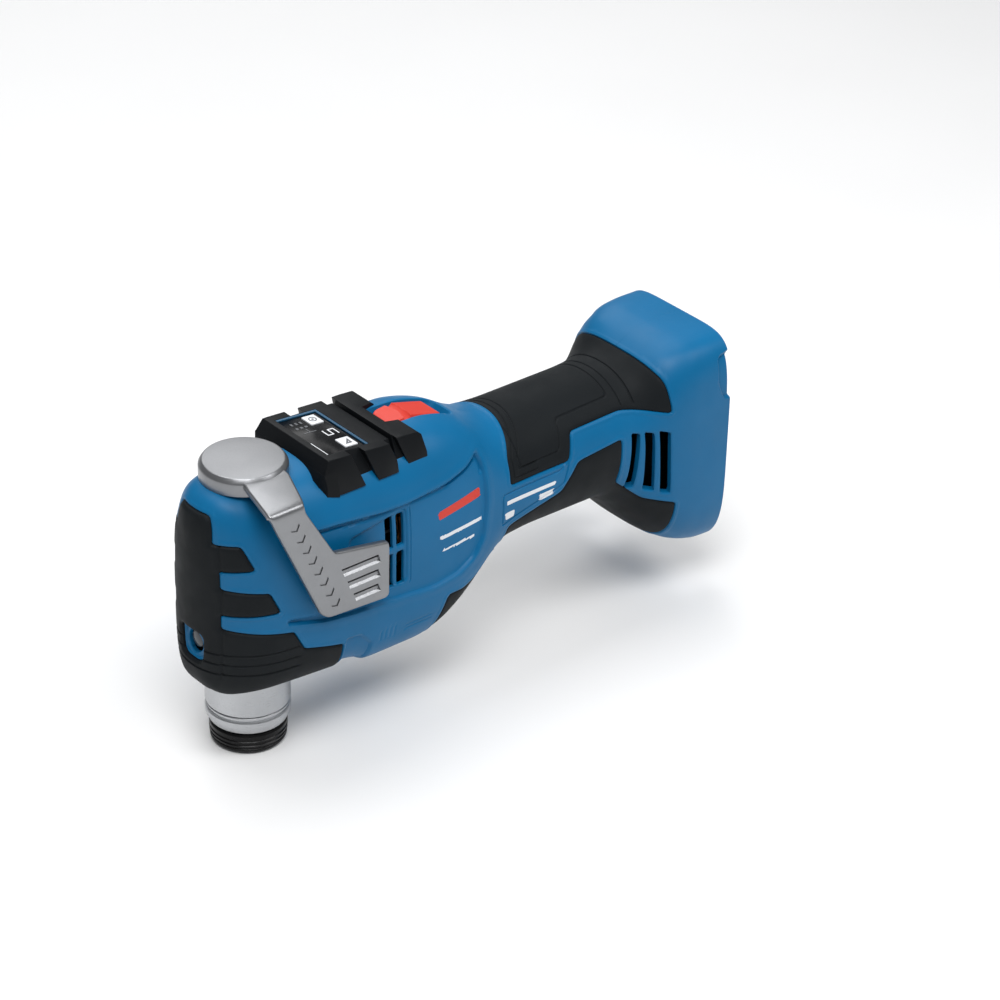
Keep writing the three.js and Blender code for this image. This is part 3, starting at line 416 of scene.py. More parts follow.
def end_cap(ring):
    """Triangles over the first section, between its left and its right half."""
    around = len(ring)
    cap = []
    for i in range(around // 2):
        p, q = ring[i], ring[i + 1]
        r, s = ring[-(i + 1) % around], ring[-i % around]
        if i + 1 == around // 2:
            cap.append((p, q, s))
        elif i == 0:
            cap.append((p, q, r))
        else:
            cap += [(p, q, r), (p, r, s)]
    return np.array(cap)


def form_grid():
    """The outer form as points, smooth normals and triangles. The rear end is open."""
    grid = form_rows()
    index = np.arange(grid.shape[0] * grid.shape[1]).reshape(grid.shape[:2])
    a, b = index[:-1], index[1:]
    c, d = np.roll(b, -1, 1), np.roll(a, -1, 1)
    sides = [np.stack(corners, 2).reshape(-1, 3) for corners in ([a, b, c], [a, c, d])]
    tris = np.concatenate([*sides, end_cap(index[0])])
    points = grid.reshape(-1, 3)
    normals = smooth_normals(grid).reshape(-1, 3)
    p, q, r = (points[tris[:, k]] for k in range(3))
    inward = np.einsum("ij,ij->i", np.cross(q - p, r - p), normals[tris[:, 0]]) < 0
    tris[inward] = tris[inward][:, [0, 2, 1]]
    return np.hstack([points, normals]), tris


# ---------- cutting a skin along lines ----------
NEAR = 0.1  # share of an edge within which its end is moved onto the line
ELSEWHERE = 9.0  # value that keeps a cut away


def tri_edges(tris):
    return np.concatenate([tris[:, [0, 1]], tris[:, [1, 2]], tris[:, [2, 0]]])


def snap(data, values, edges):
    """Moves each corner that lies close to the line along an edge onto the line."""
    for first, second in ((0, 1), (1, 0)):
        i, j = edges[:, first], edges[:, second]
        crossing = values[i] * values[j] < 0
        i, j = i[crossing], j[crossing]
        t = values[i] / (values[i] - values[j])
        close = t < NEAR
        i, j, t = i[close], j[close], t[close, None]
        data[i] = data[i] * (1 - t) + data[j] * t
        values[i] = 0


def turned(tris, signs):
    """The triangles starting at the corner on the line or alone on its side, and which touch it."""
    touching = (signs == 0).any(1)
    on_line = np.argmax(signs == 0, 1)
    alone = np.argmax(signs == -np.sign(signs.sum(1))[:, None], 1)
    start = np.where(touching, on_line, alone)
    return np.take_along_axis(tris, (start[:, None] + np.arange(3)) % 3, 1), touching


def split(data, tris, values):
    """Cuts the triangles along values = 0, so that no triangle has both signs."""
    data, v = data.copy(), values.copy()
    snap(data, v, tri_edges(tris))
    signs = np.sign(v)[tris]
    mixed = (signs.max(1) > 0) & (signs.min(1) < 0)
    kept = tris[~mixed]
    if not mixed.any():
        return data, kept
    crossed, touching = turned(tris[mixed], signs[mixed])
    p0, q0, r0 = crossed[touching].T
    p1, q1, r1 = crossed[~touching].T
    ends = np.concatenate([np.stack(pair, 1) for pair in ((q0, r0), (p1, q1), (p1, r1))])
    pairs, inverse = np.unique(np.sort(ends, 1), axis=0, return_inverse=True)
    i, j = pairs.T
    t = (v[i] / (v[i] - v[j]))[:, None]
    fresh = inverse.reshape(-1) + len(data)
    data = np.concatenate([data, data[i] * (1 - t) + data[j] * t])
    m, m1, m2 = np.split(fresh, [len(p0), len(p0) + len(p1)])
    corners = [(p0, q0, m), (p0, m, r0), (p1, m1, m2), (m1, q1, r1), (m1, r1, m2)]
    return data, np.concatenate([kept, *[np.stack(three, 1) for three in corners]])


class Relief:
    """A feature of the skin: a distance field, the height by distance, and where it fades out."""

    def __init__(self, field, profile, pieces, within=None, fade=1.5):
        self.field = field
        self.levels = [f for f, _ in profile]
        self.heights = [d for _, d in profile]
        self.pieces = pieces
        self.within = within
        self.fade = fade

    def offset(self, points):
        height = np.interp(self.field(points), self.levels, self.heights)
        if self.within is not None:
            height *= np.clip(-self.within(points) / self.fade, 0, 1)
        return height

    def cuts(self, points, level):
        """Values to cut the skin along one level, only where the feature is."""
        values = self.field(points) - level
        if self.within is not None:
            values = np.where(self.within(points) < 0, values, ELSEWHERE)
        return values


def side_only(field, sign=0, limit=8):
    """Keeps a side feature off the middle of the form, or on one side of it."""

    def limited(p):
        off = limit - (np.abs(p[:, 1]) if sign == 0 else sign * p[:, 1])
        return np.maximum(field(p), off)

    return limited


def on_top(field, height=80):
    return lambda p: np.maximum(field(p), height - p[:, 2])


def plan_field(corners, radius):
    shape = rounded(corners, radius)
    return on_top(lambda p: outline_distance(shape, p[:, 0], p[:, 1]))


def circle_field(r):
    """Distance to a circle round the spindle axis."""
    return lambda p: np.hypot(p[:, 0], p[:, 1]) - r


LIGHT_Z = 46.6
LIGHT_END = -14  # the work light's openings stay ahead of this x


def light_window(p):
    """Rounded window in the front of the nose, in (y, z)."""
    corners = rounded([(-5.6, 40.6), (5.6, 40.6), (6.4, 52.4), (-6.4, 52.4)], 3)
    return np.maximum(outline_distance(corners, p[:, 1], p[:, 2]), p[:, 0] - LIGHT_END)


nose_outline = side_field(NOSE_PAD, 1.0)


def nose_field(p):
    return np.maximum(nose_outline(p), -light_window(p))


PADS = {
    "nose_pad": nose_field,
    "belly_pad": side_field(BELLY_PAD, 1.5),
    "grip_pad": side_field(GRIP_PAD, 1.6),
    "under_grip_pad": side_field(UNDER_PAD, 1.6),
}


def any_pad(p):
    return np.min([field(p) for field in PADS.values()], axis=0)


def rectangle(x0, x1, half):
    return [(x0, -half), (x1, -half), (x1, half), (x0, half)]


SLIDER_RECESS = [(55.6, -6.8), (83.8, -6.3), (85.6, -4.6), (85.6, 4.6), (83.8, 6.3), (55.6, 6.8)]
slider_recess = plan_field(SLIDER_RECESS, 1.4)
display_hole = plan_field(rectangle(23, 53.8, 16), 1)
slider_slot = plan_field(rectangle(62.5, 82, 3.9), 0.8)
vent_fields = [side_only(side_field(corners, 0.7)) for corners in VENTS]
cap_hole = on_top(circle_field(12.5))


def neck_hole(p):
    return np.maximum(circle_field(15.2)(p), p[:, 2] - 60)


def light_hole(p):
    return np.maximum(np.hypot(p[:, 1], p[:, 2] - LIGHT_Z) - 4.4, p[:, 0] - LIGHT_END)


def shoe_hole(p):
    """Gap under the battery shoe, through the bottom of the foot."""
    return np.maximum(np.abs(p[:, 1]) - 20.5, np.maximum(186.8 - p[:, 0], p[:, 2] - 40))


def ring_field(x, z, r):
    return lambda p: np.hypot(p[:, 0] - x, p[:, 2] - z) - r


screw_holes = [side_only(ring_field(x, z, 3.4), 1) for x, z in SCREW_SPOTS]
HOLES = [display_hole, slider_slot, *vent_fields, neck_hole, cap_hole, light_hole, shoe_hole]
HOLES += screw_holes


def any_hole(p):
    return np.min([field(p) for field in HOLES], axis=0)


def stroke(depth, half=0.15, flank=0.35):
    """Profile of a groove along the zero line of a signed field."""
    return [(-half - flank, 0), (-half, -depth), (half, -depth), (half + flank, 0)]


def plus(field, distance):
    return lambda p: field(p) + distance


def side_box(x0, x1, z0, z1):
    """Negative inside a box of the side view."""
    return lambda p: np.maximum.reduce([x0 - p[:, 0], p[:, 0] - x1, z0 - p[:, 2], p[:, 2] - z1])


def below(z):
    return lambda p: p[:, 2] - z


def above(z):
    return lambda p: z - p[:, 2]


def ahead_of(x):
    return lambda p: p[:, 0] - x


GROOVE = stroke(0.4)
FINE_GROOVE = stroke(0.3, 0.12, 0.28)
PAD_EDGE = [(-1.2, 0.0), (-0.5, -0.1), (0, -0.5)]
POCKET_EDGE = [(-1.2, -0.75), (-0.4, -0.65), (0, -0.15), (0.3, 0)]
FOOT_RECESS_EDGE = [(-2.2, -3.2), (-0.4, -1.2), (0, -0.3), (0.4, 0)]
SHELLS = ("housing_left", "housing_right")
NOSE = ("nose_pad",)
GRIP = ("grip_pad",)
lever_pocket = side_only(side_field(LEVER_POCKET, 2.0), -1)
foot_recess = side_only(side_field(FOOT_RECESS, 1.6))
VENT_LINE = side_only(side_box(50, 54, 52.6, 84.6))
RING_AREA = side_only(side_box(30, 47.5, 33.4, 40.5))
BAR_AREA = side_only(side_box(48.5, 62.5, 30, 41))
PANEL_FIELD = side_only(side_field(SIDE_PANEL, 2.0))
PANEL_PROFILE = [(-1.3, -1.45), (-0.5, -1.2), (0, -0.2), (0.35, 0.1), (1.2, 0.2), (3.4, 0)]
RELIEFS = [
    Relief(PANEL_FIELD, PANEL_PROFILE, SHELLS),
    Relief(plus(PANEL_FIELD, 1.1), stroke(0.75, 0.45, 0.4), SHELLS, above(84.4)),
    Relief(lever_pocket, POCKET_EDGE, SHELLS),
    Relief(ahead_of(52.1), FINE_GROOVE, SHELLS, VENT_LINE),
    Relief(side_only(side_field(BADGE, 1.2)), GROOVE, SHELLS),
    Relief(side_only(side_field(LOWER_STEP, 1.0)), [(-1.0, -0.8), (0, -0.1), (0.3, 0)], SHELLS),
    Relief(foot_recess, FOOT_RECESS_EDGE, SHELLS),
    Relief(slider_recess, [(-0.5, -3.4), (-0.2, -3.0), (0, -0.3), (0.5, 0)], SHELLS),
    Relief(any_pad, [(0, -0.45), (0.3, 0.05), (1.1, 0.18), (1.7, 0)], SHELLS),
    Relief(light_window, [(-1.0, -1.6), (-0.2, -0.8), (0.4, 0)], SHELLS),
    Relief(any_hole, [(0.0, -0.35), (0.3, -0.08), (0.7, 0)], SHELLS),
    Relief(nose_field, [(-1.5, 0.45), (-0.7, 0.3), (-0.25, -0.15), (0, -0.4)], NOSE),
    Relief(ahead_of(-19.4), [(-0.5, 0.3), (0.0, 0)], NOSE, below(98.5)),
    Relief(ahead_of(-19.2), stroke(0.3, 0.1, 0.3), NOSE, side_box(-24, 0, 36, 97)),
    Relief(PADS["grip_pad"], [(-1.2, 0.0), (-0.5, -0.08), (0, -0.5)], GRIP),
    Relief(side_field(GRIP_PANEL, 1.4), FINE_GROOVE, GRIP),
    Relief(PADS["under_grip_pad"], PAD_EDGE, ("under_grip_pad",)),
    Relief(PADS["belly_pad"], PAD_EDGE, ("belly_pad",)),
]
RELIEFS += [Relief(below(z), stroke(0.4, 0.15, 0.4), NOSE, ahead_of(5.5)) for z in (46.6, 42.6, 38.6)]
RELIEFS += [Relief(plus(PADS["grip_pad"], d), FINE_GROOVE, GRIP, ahead_of(112)) for d in (1.9, 4.4)]
RELIEFS += [Relief(ahead_of(x), FINE_GROOVE, GRIP, above(84)) for x in (153.4, 158.4)]
RELIEFS += [Relief(ring_field(57, 36.5, r), stroke(0.18), SHELLS, RING_AREA) for r in range(10, 19, 2)]
RELIEFS += [Relief(below(z), stroke(0.2), SHELLS, BAR_AREA) for z in (35.6, 37.0)]


def skin_parts():
    """Cuts the form along every line and deals its triangles out to the pieces."""
    data, tris = form_grid()
    for field in [*PADS.values(), *HOLES]:
        data, tris = split(data, tris, field(data[:, :3]))
    for relief in RELIEFS:
        for level in relief.levels:
            if level != 0 or relief.field not in (any_pad, any_hole, *PADS.values()):
                data, tris = split(data, tris, relief.cuts(data[:, :3], level))
    for field in STRIPES.values():
        data, tris = split(data, tris, field(data[:, :3]))
    centres = data[tris].mean(1)[:, :3]
    owner = np.where(centres[:, 1] < 0, 0, 1)
    for number, field in enumerate(PADS.values()):
        owner[field(centres) < 0] = 2 + number
    owner[any_hole(centres) < 0] = -1
    return data, tris, owner


def stripes(outlines, side=-1):
    fields = [side_only(side_field(corners, 0.3), side) for corners in outlines]
    return lambda p: np.min([field(p) for field in fields], axis=0)


STRIPES = {"stripes_red": stripes(RED_STRIPES), "stripes_white": stripes(WHITE_STRIPES)}
STRIPE_LOOKS = {"stripes_red": "red_plastic", "stripes_white": "key_white"}
STRIPE_THICKNESS = 0.04
HALF_GAP = 0.015  # between each shell and the middle plane
SHELL_WALL = 2.8
PAD_WALL = 1.5
MIN_WALL = 1.2  # of a shell under its recesses


def boundary_edges(tris):
    edges = tri_edges(tris)
    keys = np.sort(edges, 1)
    _, inverse, counts = np.unique(keys, axis=0, return_inverse=True, return_counts=True)
    return edges[counts[inverse.reshape(-1)] == 1]


def shell_piece(name, data, tris, thickness, lift=0.0):
    """One closed piece: the raised outer skin, the inner skin and the rim that joins them."""
    used, local = np.unique(tris, return_inverse=True)
    local = local.reshape(-1, 3)
    points, normals = data[used, :3], data[used, 3:]
    normals = normals / np.linalg.norm(normals, axis=1, keepdims=True)
    height = np.zeros(len(points))
    for relief in RELIEFS:
        if name in relief.pieces:
            height += relief.offset(points)
    outer = points + normals * (height[:, None] + lift)
    depth = thickness - height if lift else np.maximum(thickness, MIN_WALL - height)
    inner = points - normals * (depth[:, None] - lift)
    side = -1 if name == "housing_left" else 1
    for layer in (outer, inner):
        layer[:, 0] = np.minimum(layer[:, 0], SHOE_X)
        if name in SHELLS:
            layer[layer[:, 1] * side < HALF_GAP, 1] = HALF_GAP * side
    count = len(points)
    a, b = boundary_edges(local).T
    walls = [np.stack(corners, 1) for corners in ((b, a, a + count), (b, a + count, b + count))]
    faces = np.concatenate([local, local[:, ::-1] + count, *walls])
    return np.concatenate([outer, inner]), faces


def piece(name, mesh, look, body="housing", angle=35):
    """Turns a millimetre mesh into a piece that rides a body."""
    mesh.transform(Matrix.Scale(MM, 4))
    mesh.materials.clear()
    mesh.materials.append(LOOKS[look])
    mesh.shade_smooth()
    mesh.set_sharp_from_angle(angle=math.radians(angle))
    made = bpy.data.objects.new(name, mesh)
    bpy.context.scene.collection.objects.link(made)
    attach(made, body)
    return made


def stand_in(node, mesh, look, body="housing", angle=35):
    """A finer piece that replaces a CAD node."""
    made = piece("visual_" + node, mesh, look, body, angle)
    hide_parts(node)
    return made


def skin_mesh(points, faces):
    mesh = bpy.data.meshes.new("skin")
    mesh.from_pydata(points.tolist(), [], faces.tolist())
    mesh.validate()
    return mesh


def add_skin():
    data, tris, owner = skin_parts()
    for number, name in enumerate([*SHELLS, *PADS]):
        look, wall = ("blue_shell", SHELL_WALL) if name in SHELLS else ("black_rubber", PAD_WALL)
        points, faces = shell_piece(name, data, tris[owner == number], wall)
        stand_in(name, skin_mesh(points, faces), look, angle=32)
    centres = data[tris].mean(1)[:, :3]
    for name, field in STRIPES.items():
        chosen = tris[(field(centres) < 0) & (owner == 0)]
        points, faces = shell_piece("housing_left", data, chosen, STRIPE_THICKNESS, STRIPE_THICKNESS)
        piece(name, skin_mesh(points, faces), STRIPE_LOOKS[name], angle=32)


# ---------- small solids: lofts, lathes, cuts and rounded edges ----------
@contextmanager
def edited(mesh):
    """The mesh opened for editing, and written back at the end."""
    work = bmesh.new()
    work.from_mesh(mesh)
    yield work
    work.to_mesh(mesh)
    work.free()


def closed(points, faces):
    """A mesh in millimetres with its faces turned outwards."""
    mesh = bpy.data.meshes.new("part")
    mesh.from_pydata(points, [], faces)
    with edited(mesh) as work:
        bmesh.ops.recalc_face_normals(work, faces=work.faces)
    return mesh


def loft(rings):
    """A solid through rings of as many points each, closed at both ends."""
    around = len(rings[0])
    last = (len(rings) - 1) * around
    faces = [tuple(range(around)), tuple(range(last + around - 1, last - 1, -1))]
    for start in range(0, last, around):
        for j in range(around):
            k = (j + 1) % around
            faces.append((start + j, start + k, start + k + around, start + j + around))
    return closed([point for ring in rings for point in ring], faces)


def prism(corners, axis, low, high):
    """A prism whose outline lies across an axis: x takes (y, z), y takes (x, z), z takes (x, y)."""
    spot = "xyz".index(axis)
    return loft([[(*c[:spot], level, *c[spot:]) for c in corners] for level in (low, high)])


ON_AXIS = 0.001  # radius of the points on a lathe's axis, before they are merged


def block(x0, x1, y0, y1, z0, z1):
    return prism([(x0, y0), (x1, y0), (x1, y1), (x0, y1)], "z", z0, z1)


def lathe(outline, sides=96, axis="z", place=(0, 0, 0)):
    """A turned solid from a closed [radius, height] outline, about z or x."""
    points, faces = [], []
    count = len(outline)
    for i in range(sides):
        a = 2 * math.pi * i / sides
        j = (i + 1) % sides
        for k, (r, h) in enumerate(outline):
            points.append((max(r, ON_AXIS) * math.cos(a), max(r, ON_AXIS) * math.sin(a), h))
            m = (k + 1) % count
            if r or outline[m][0]:
                faces.append((i * count + k, j * count + k, j * count + m, i * count + m))
    mesh = closed(points, faces)
    with edited(mesh) as work:
        bmesh.ops.remove_doubles(work, verts=work.verts, dist=0.005)
        bmesh.ops.recalc_face_normals(work, faces=work.faces)
    if axis == "x":
        mesh.transform(Matrix.Rotation(math.pi / 2, 4, "Y"))
    mesh.transform(Matrix.Translation(place))
    return mesh


def modified(mesh, kind, settings):
    """The mesh after one modifier."""
    holder = bpy.data.objects.new("work", mesh)
    bpy.context.scene.collection.objects.link(holder)
    modifier = holder.modifiers.new(kind, kind)
    for key, value in settings.items():
        setattr(modifier, key, value)
    graph = bpy.context.evaluated_depsgraph_get()
    result = bpy.data.meshes.new_from_object(holder.evaluated_get(graph))
    bpy.data.objects.remove(holder)
    return result


def combined(first, operation, *others):
    for other in others:
        helper = bpy.data.objects.new("helper", other)
        bpy.context.scene.collection.objects.link(helper)
        settings = {"operation": operation, "object": helper, "solver": "EXACT"}
        first = modified(first, "BOOLEAN", settings)
        bpy.data.objects.remove(helper)
    return first


def cut(first, *others):
    return combined(first, "DIFFERENCE", *others)


def meet(first, *others):
    return combined(first, "INTERSECT", *others)


def join(first, *others):
    return combined(first, "UNION", *others)


def eased(mesh, width, segments=2, angle=25):
    """Rounds every edge sharper than the angle."""
    with edited(mesh) as work:
        bmesh.ops.remove_doubles(work, verts=work.verts, dist=0.01)
        bmesh.ops.dissolve_limit(work, angle_limit=math.radians(1), verts=work.verts, edges=work.edges)
    settings = {
        "width": width,
        "segments": segments,
        "limit_method": "ANGLE",
        "angle_limit": math.radians(angle),
        "use_clamp_overlap": True,
    }
    return modified(mesh, "BEVEL", settings)


def merged(meshes):
    """Several separate solids as one mesh."""
    result = bpy.data.meshes.new("merged")
    with edited(result) as work:
        for mesh in meshes:
            work.from_mesh(mesh)
    return result


# ---------- display hood, guard and slider ----------
TOP_SLOPE = 3 / 33.6
HOOD_FRONT = 18.8
WIDE = (-30, 30)  # beyond both sides of hood and guard
TALL = (90, 115)  # beyond their foot and their top


def hood_top(x, depth=0.0):
    """Height of the display hood's top face at x."""
    return 110.22 - TOP_SLOPE * (x - HOOD_FRONT) - depth


def saddle(top_w, foot_w, top, foot):
    """Section of a block that sits on the housing's crown, as (y, z)."""
    return [
        (-foot_w, foot), (-top_w - 0.2, top - 0.7), (-top_w + 0.5, top), (top_w - 0.5, top),
        (top_w + 0.2, top - 0.7), (foot_w, foot), (15, 101.4), (-15, 101.4),
    ]


def seated(crown, x0, x1, *views):
    """A block on the housing's crown, from its section and other views of it."""
    return meet(prism(crown, "x", x0, x1), *views)


SCREEN = (24.2, 41.2, 14.6)  # x of both ends and half width
KEYS = {"key_far": (33.4, 38.6, 6.4, 12.4), "key_near": (33.4, 38.6, -12.4, -6.4)}
GAP = 0.2  # round the pane and the keys


def screen_plate(x0, x1, y0, y1, upper, lower):
    """A plate parallel to the hood's top face, between two depths under it."""
    corners = ((x0, upper), (x1, upper), (x1, lower), (x0, lower))
    return prism([(x, hood_top(x, depth)) for x, depth in corners], "y", y0, y1)


LEAN = 0.36  # the blocks' edges run back by this much for each millimetre down
FLARE = 0.4  # and outwards by this much
NOTCH_HEIGHT = 109
NOTCH_INNER = 15.0


def side_notch(side, x0, x1):
    """Leaning groove in a side of the hood, given where it meets the height of the notches."""
    rings = []
    for z in TALL:
        drop = NOTCH_HEIGHT - z
        a, b, y = x0 + LEAN * drop, x1 + LEAN * drop, side * (NOTCH_INNER + FLARE * drop)
        rings.append([(a, y, z), (b, y, z), (b, side * 40, z), (a, side * 40, z)])
    return loft(rings)


def mirrored(half):
    """A plan outline from its half on the -Y side, given from front to back."""
    return [*half, *[(x, -y) for x, y in reversed(half)]]


def add_display_base():
    """Black footing under hood and guard, seen in the grooves and as the hood's front skirt."""
    side = [(17.1, 94), (17.1, 102), (19.1, 105.5), (24, 105.5), (24, 94)]
    plan = mirrored([(17.1, -14), (17.9, -17.6), (19.6, -20.3), (24, -21.5)])
    crown = saddle(18.2, 21.5, 110.4, 96.6)
    skirt = seated(crown, 17, 24, prism(side, "y", *WIDE), prism(plan, "z", *TALL))
    core = prism(saddle(14.6, 19.6, 105.3, 97), "x", 23, 54.4)
    piece("display_base", join(skirt, eased(core, 0.3)), "black_plastic")


def add_hood():
    top = [(x, hood_top(x)) for x in (21.5, 49.2)]
    side = [(18.9, 96), (18.9, 105), *top, (49.3, 105.6), (49.3, 96)]
    plan = mirrored([(HOOD_FRONT, -18.4), (19.6, -20.2), (26, -21.6), (50, -21.6)])
    crown = saddle(18.2, 21.4, 110.4, 97)
    hood = seated(crown, HOOD_FRONT, 49.3, prism(side, "y", *WIDE), prism(plan, "z", *TALL))
    places = ((30.9, 36.4), (46.5, 58))
    notches = [side_notch(s, a, b) for s in (-1, 1) for a, b in places]
    hood = eased(cut(hood, *notches), 0.85, 3)
    x0, x1, w = SCREEN
    opening = screen_plate(x0 - GAP, x1 + GAP, -w - GAP, w + GAP, -4, 1.9)
    stand_in("display_frame", cut(hood, opening), "black_plastic")


def add_pane():
    """The display pane and its two keys."""
    x0, x1, w = SCREEN
    pane = screen_plate(x0, x1, -w, w, 0.5, 1.8)
    openings = [block(a - GAP, b + GAP, c - GAP, d + GAP, 100, 120) for a, b, c, d in KEYS.values()]
    pane = eased(cut(pane, *openings), 0.12, 2)
    stand_in("display_glass", pane, "screen")
    for body, edges in KEYS.items():
        face = eased(screen_plate(*edges, 0.25, 3.4), 0.15, 2)
        stand_in("display_" + body, face, "key_white", body)


def mark(x, y, dx, dy):
    """A printed mark on the pane, given by its middle and its size."""
    return screen_plate(x - dx / 2, x + dx / 2, y - dy / 2, y + dy / 2, 0.42, 0.6)


def add_pane_marks():
    x0, x1, w = SCREEN
    lip = merged([
        screen_plate(x0, x1, w - 1.0, w, 0.05, 0.9),
        screen_plate(x1 - 1.0, x1, -w, w - 1.0, 0.05, 0.9),
    ])
    piece("display_blue_lip", lip, "screen_blue")
    digit = [mark(x, -0.9, 0.45, 3.9) for x in (33.6, 35.8, 38.0)]
    digit += [mark(36.9, 0.85, 1.7, 0.5), mark(34.7, -2.65, 1.7, 0.5)]
    piece("display_digit", merged(digit), "key_white")
    columns = (27.2, 29.1, 31.0)
    icons = [mark(x, 9.6, 0.8, 1.5) for x in columns]
    icons += [mark(x, 6.4, 1.1, 1.1) for x in columns]
    icons += [mark(28.4, 2.4, 2.6, 0.35), mark(31.0, 2.4, 2.6, 0.35), mark(29.7, 3.7, 0.35, 2.4)]
    piece("display_icons", merged(icons), "icon_line")
    piece("display_level_line", mark(24.7, -9.2, 0.3, 9.4), "key_white")


def add_key_signs():
    """Neutral signs on the two keys: a ring and a wedge."""
    x, y = 36.0, 9.4
    z = hood_top(x, 0.24)
    tilt = Matrix.Rotation(math.atan(TOP_SLOPE), 4, "Y")
    ring = lathe([(1.15, -0.1), (1.5, -0.1), (1.5, 0.1), (1.15, 0.1)], 32)
    dot = lathe([(0, -0.1), (0.45, -0.1), (0.45, 0.1), (0, 0.1)], 20)
    far = merged([ring, dot])
    far.transform(Matrix.Translation((x, y, z)) @ tilt)
    piece("key_far_sign", far, "icon_line", "key_far")
    wedge = prism([(-1.4, -1.6), (1.3, 1.7), (1.3, -1.6)], "z", -0.1, 0.1)
    hole = prism([(0.0, -0.9), (0.7, 0.1), (0.7, -0.9)], "z", -1, 1)
    near = cut(wedge, hole)
    near.transform(Matrix.Translation((x, -y, z)) @ tilt)
    piece("key_near_sign", near, "icon_line", "key_near")


def add_guard():
    side = [(50.3, 95), (50.4, 108.5), (59.8, 107.6), (61.2, 106.4), (62.6, 100), (62.6, 95)]
    guard = seated(saddle(17.8, 20.6, 108.8, 96.2), 50.2, 62.6, prism(side, "y", *WIDE))
    thumb_room = prism([(55, -6.4), (66, -8.6), (66, 8.6), (55, 6.4)], "z", 98, 120)
    notches = [side_notch(s, 40, 50.4) for s in (-1, 1)]
    guard = eased(cut(guard, thumb_room, *notches), 0.85, 3)
    stand_in("rear_guard", guard, "black_plastic")


THUMB_FRONT, THUMB_END = 57.5, 80.3
THUMB_HALF = 5.7
THUMB_NOSE = 3.6  # length of its rounded front end
THUMB_TAIL = 76  # x from which it narrows
THUMB_EDGE = 0.7  # radius along its upper edge
THUMB_CREST = 105.9
THUMB_RISE = 2.7  # length of the steep facet behind the dish
THUMB_FLOOR = [(57.4, 103.5), (70, 103.1), (75, 101.9), (80.4, 101.35)]  # underside, as (x, z)


def thumb_height(x, y):
    """Top of the thumb piece: a front facet, a dish across it and a facet falling to the tail."""
    behind = x - (65.0 - 0.03 * y * y)
    if behind > THUMB_RISE:
        return THUMB_CREST - 0.285 * (x - 67.5)
    if behind > 0:
        return THUMB_CREST - 1.5 * (1 - behind / THUMB_RISE) ** 0.7
    return 105.3 + 0.11 * (x - THUMB_FRONT)


def thumb_half(x):
    """Half width of the thumb piece, rounded at its front end."""
    ahead = max(0, 1 - (x - THUMB_FRONT) / THUMB_NOSE)
    behind = max(0, (x - THUMB_TAIL) / (THUMB_END - THUMB_TAIL))
    return THUMB_HALF * (0.48 + 0.52 * math.sqrt(1 - ahead**2)) - 0.25 * behind


def thumb_ring(x):
    """Section of the thumb piece at x."""
    half = thumb_half(x)
    floor = float(np.interp(x, *zip(*THUMB_FLOOR)))
    ring = [(x, half, floor), (x, -half, floor)]
    for c in np.linspace(-1, 1, 25):
        y = half * math.copysign(abs(c) ** 0.8, c)
        inside = min(half - abs(y), x - THUMB_FRONT, THUMB_END - x)
        fall = THUMB_EDGE - math.sqrt(THUMB_EDGE**2 - max(0, THUMB_EDGE - inside) ** 2)
        ring.append((x, y, max(floor + 0.2, thumb_height(x, y) - fall)))
    return ring


def add_slider():
    front = THUMB_FRONT + THUMB_NOSE * np.linspace(0, 1, 10) ** 2
    dish, tail = np.arange(61.2, 69, 0.22), np.arange(69, 80.2, 0.6)
    places = np.unique([*front, *dish, *tail, THUMB_END])
    stem = prism([(66, 101.35), (66, 103.9), (76, 102.4), (76, 101.35)], "y", -3.3, 3.3)
    thumb = merged([loft([thumb_ring(x) for x in places]), stem])
    stand_in("slide_switch", thumb, "red_plastic", "slider", angle=28)


# ---------- release lever ----------
ARM_FACE = [(-1, 109.4), (-15.5, 109.4), (-31, 106.2), (-31, 50)]  # outer face in (y, z)
ARM_START = -9  # y at which lengths along the arm begin
ARM_SOFTNESS = 1.7
ARM_STEP = 0.1  # spacing of the points of its softened profile
ARM_THICK = 2.7
# flat outline of the arm and its foot: x and the length along the arm
ARM_OUTLINE = [
    (-8.2, 0), (7.4, 1), (7.6, 6), (2.4, 22.3), (2.6, 25.5), (14.6, 45.8), (37.4, 49.9),
    (38.0, 52), (38.0, 71.0), (36.4, 72.2), (12, 70.6), (9, 68.4), (-9.6, 28), (-12.0, 22), (-9.8, 6),
]


def arm_path():
    """Softened side profile of the arm: lengths along it and the (y, z) points there."""
    corners = np.array(ARM_FACE, float)
    steps = np.diff(corners, axis=0)
    sizes = np.hypot(*steps.T)
    along = np.concatenate([[0], np.cumsum(sizes)])
    slopes = steps / sizes[:, None]
    lengths = np.arange(0, along[-1], ARM_STEP)
    kernel, reach = bell(ARM_STEP, ARM_SOFTNESS, 4)
    spots = np.arange(-reach, len(lengths) + reach) * ARM_STEP
    before, after = np.minimum(spots, 0), np.maximum(spots - along[-1], 0)
    path = []
    for column, first, last in zip(corners.T, slopes[0], slopes[-1]):
        line = np.interp(spots, along, column) + first * before + last * after
        path.append(np.convolve(line, kernel, "valid"))
    return lengths, np.array(path)


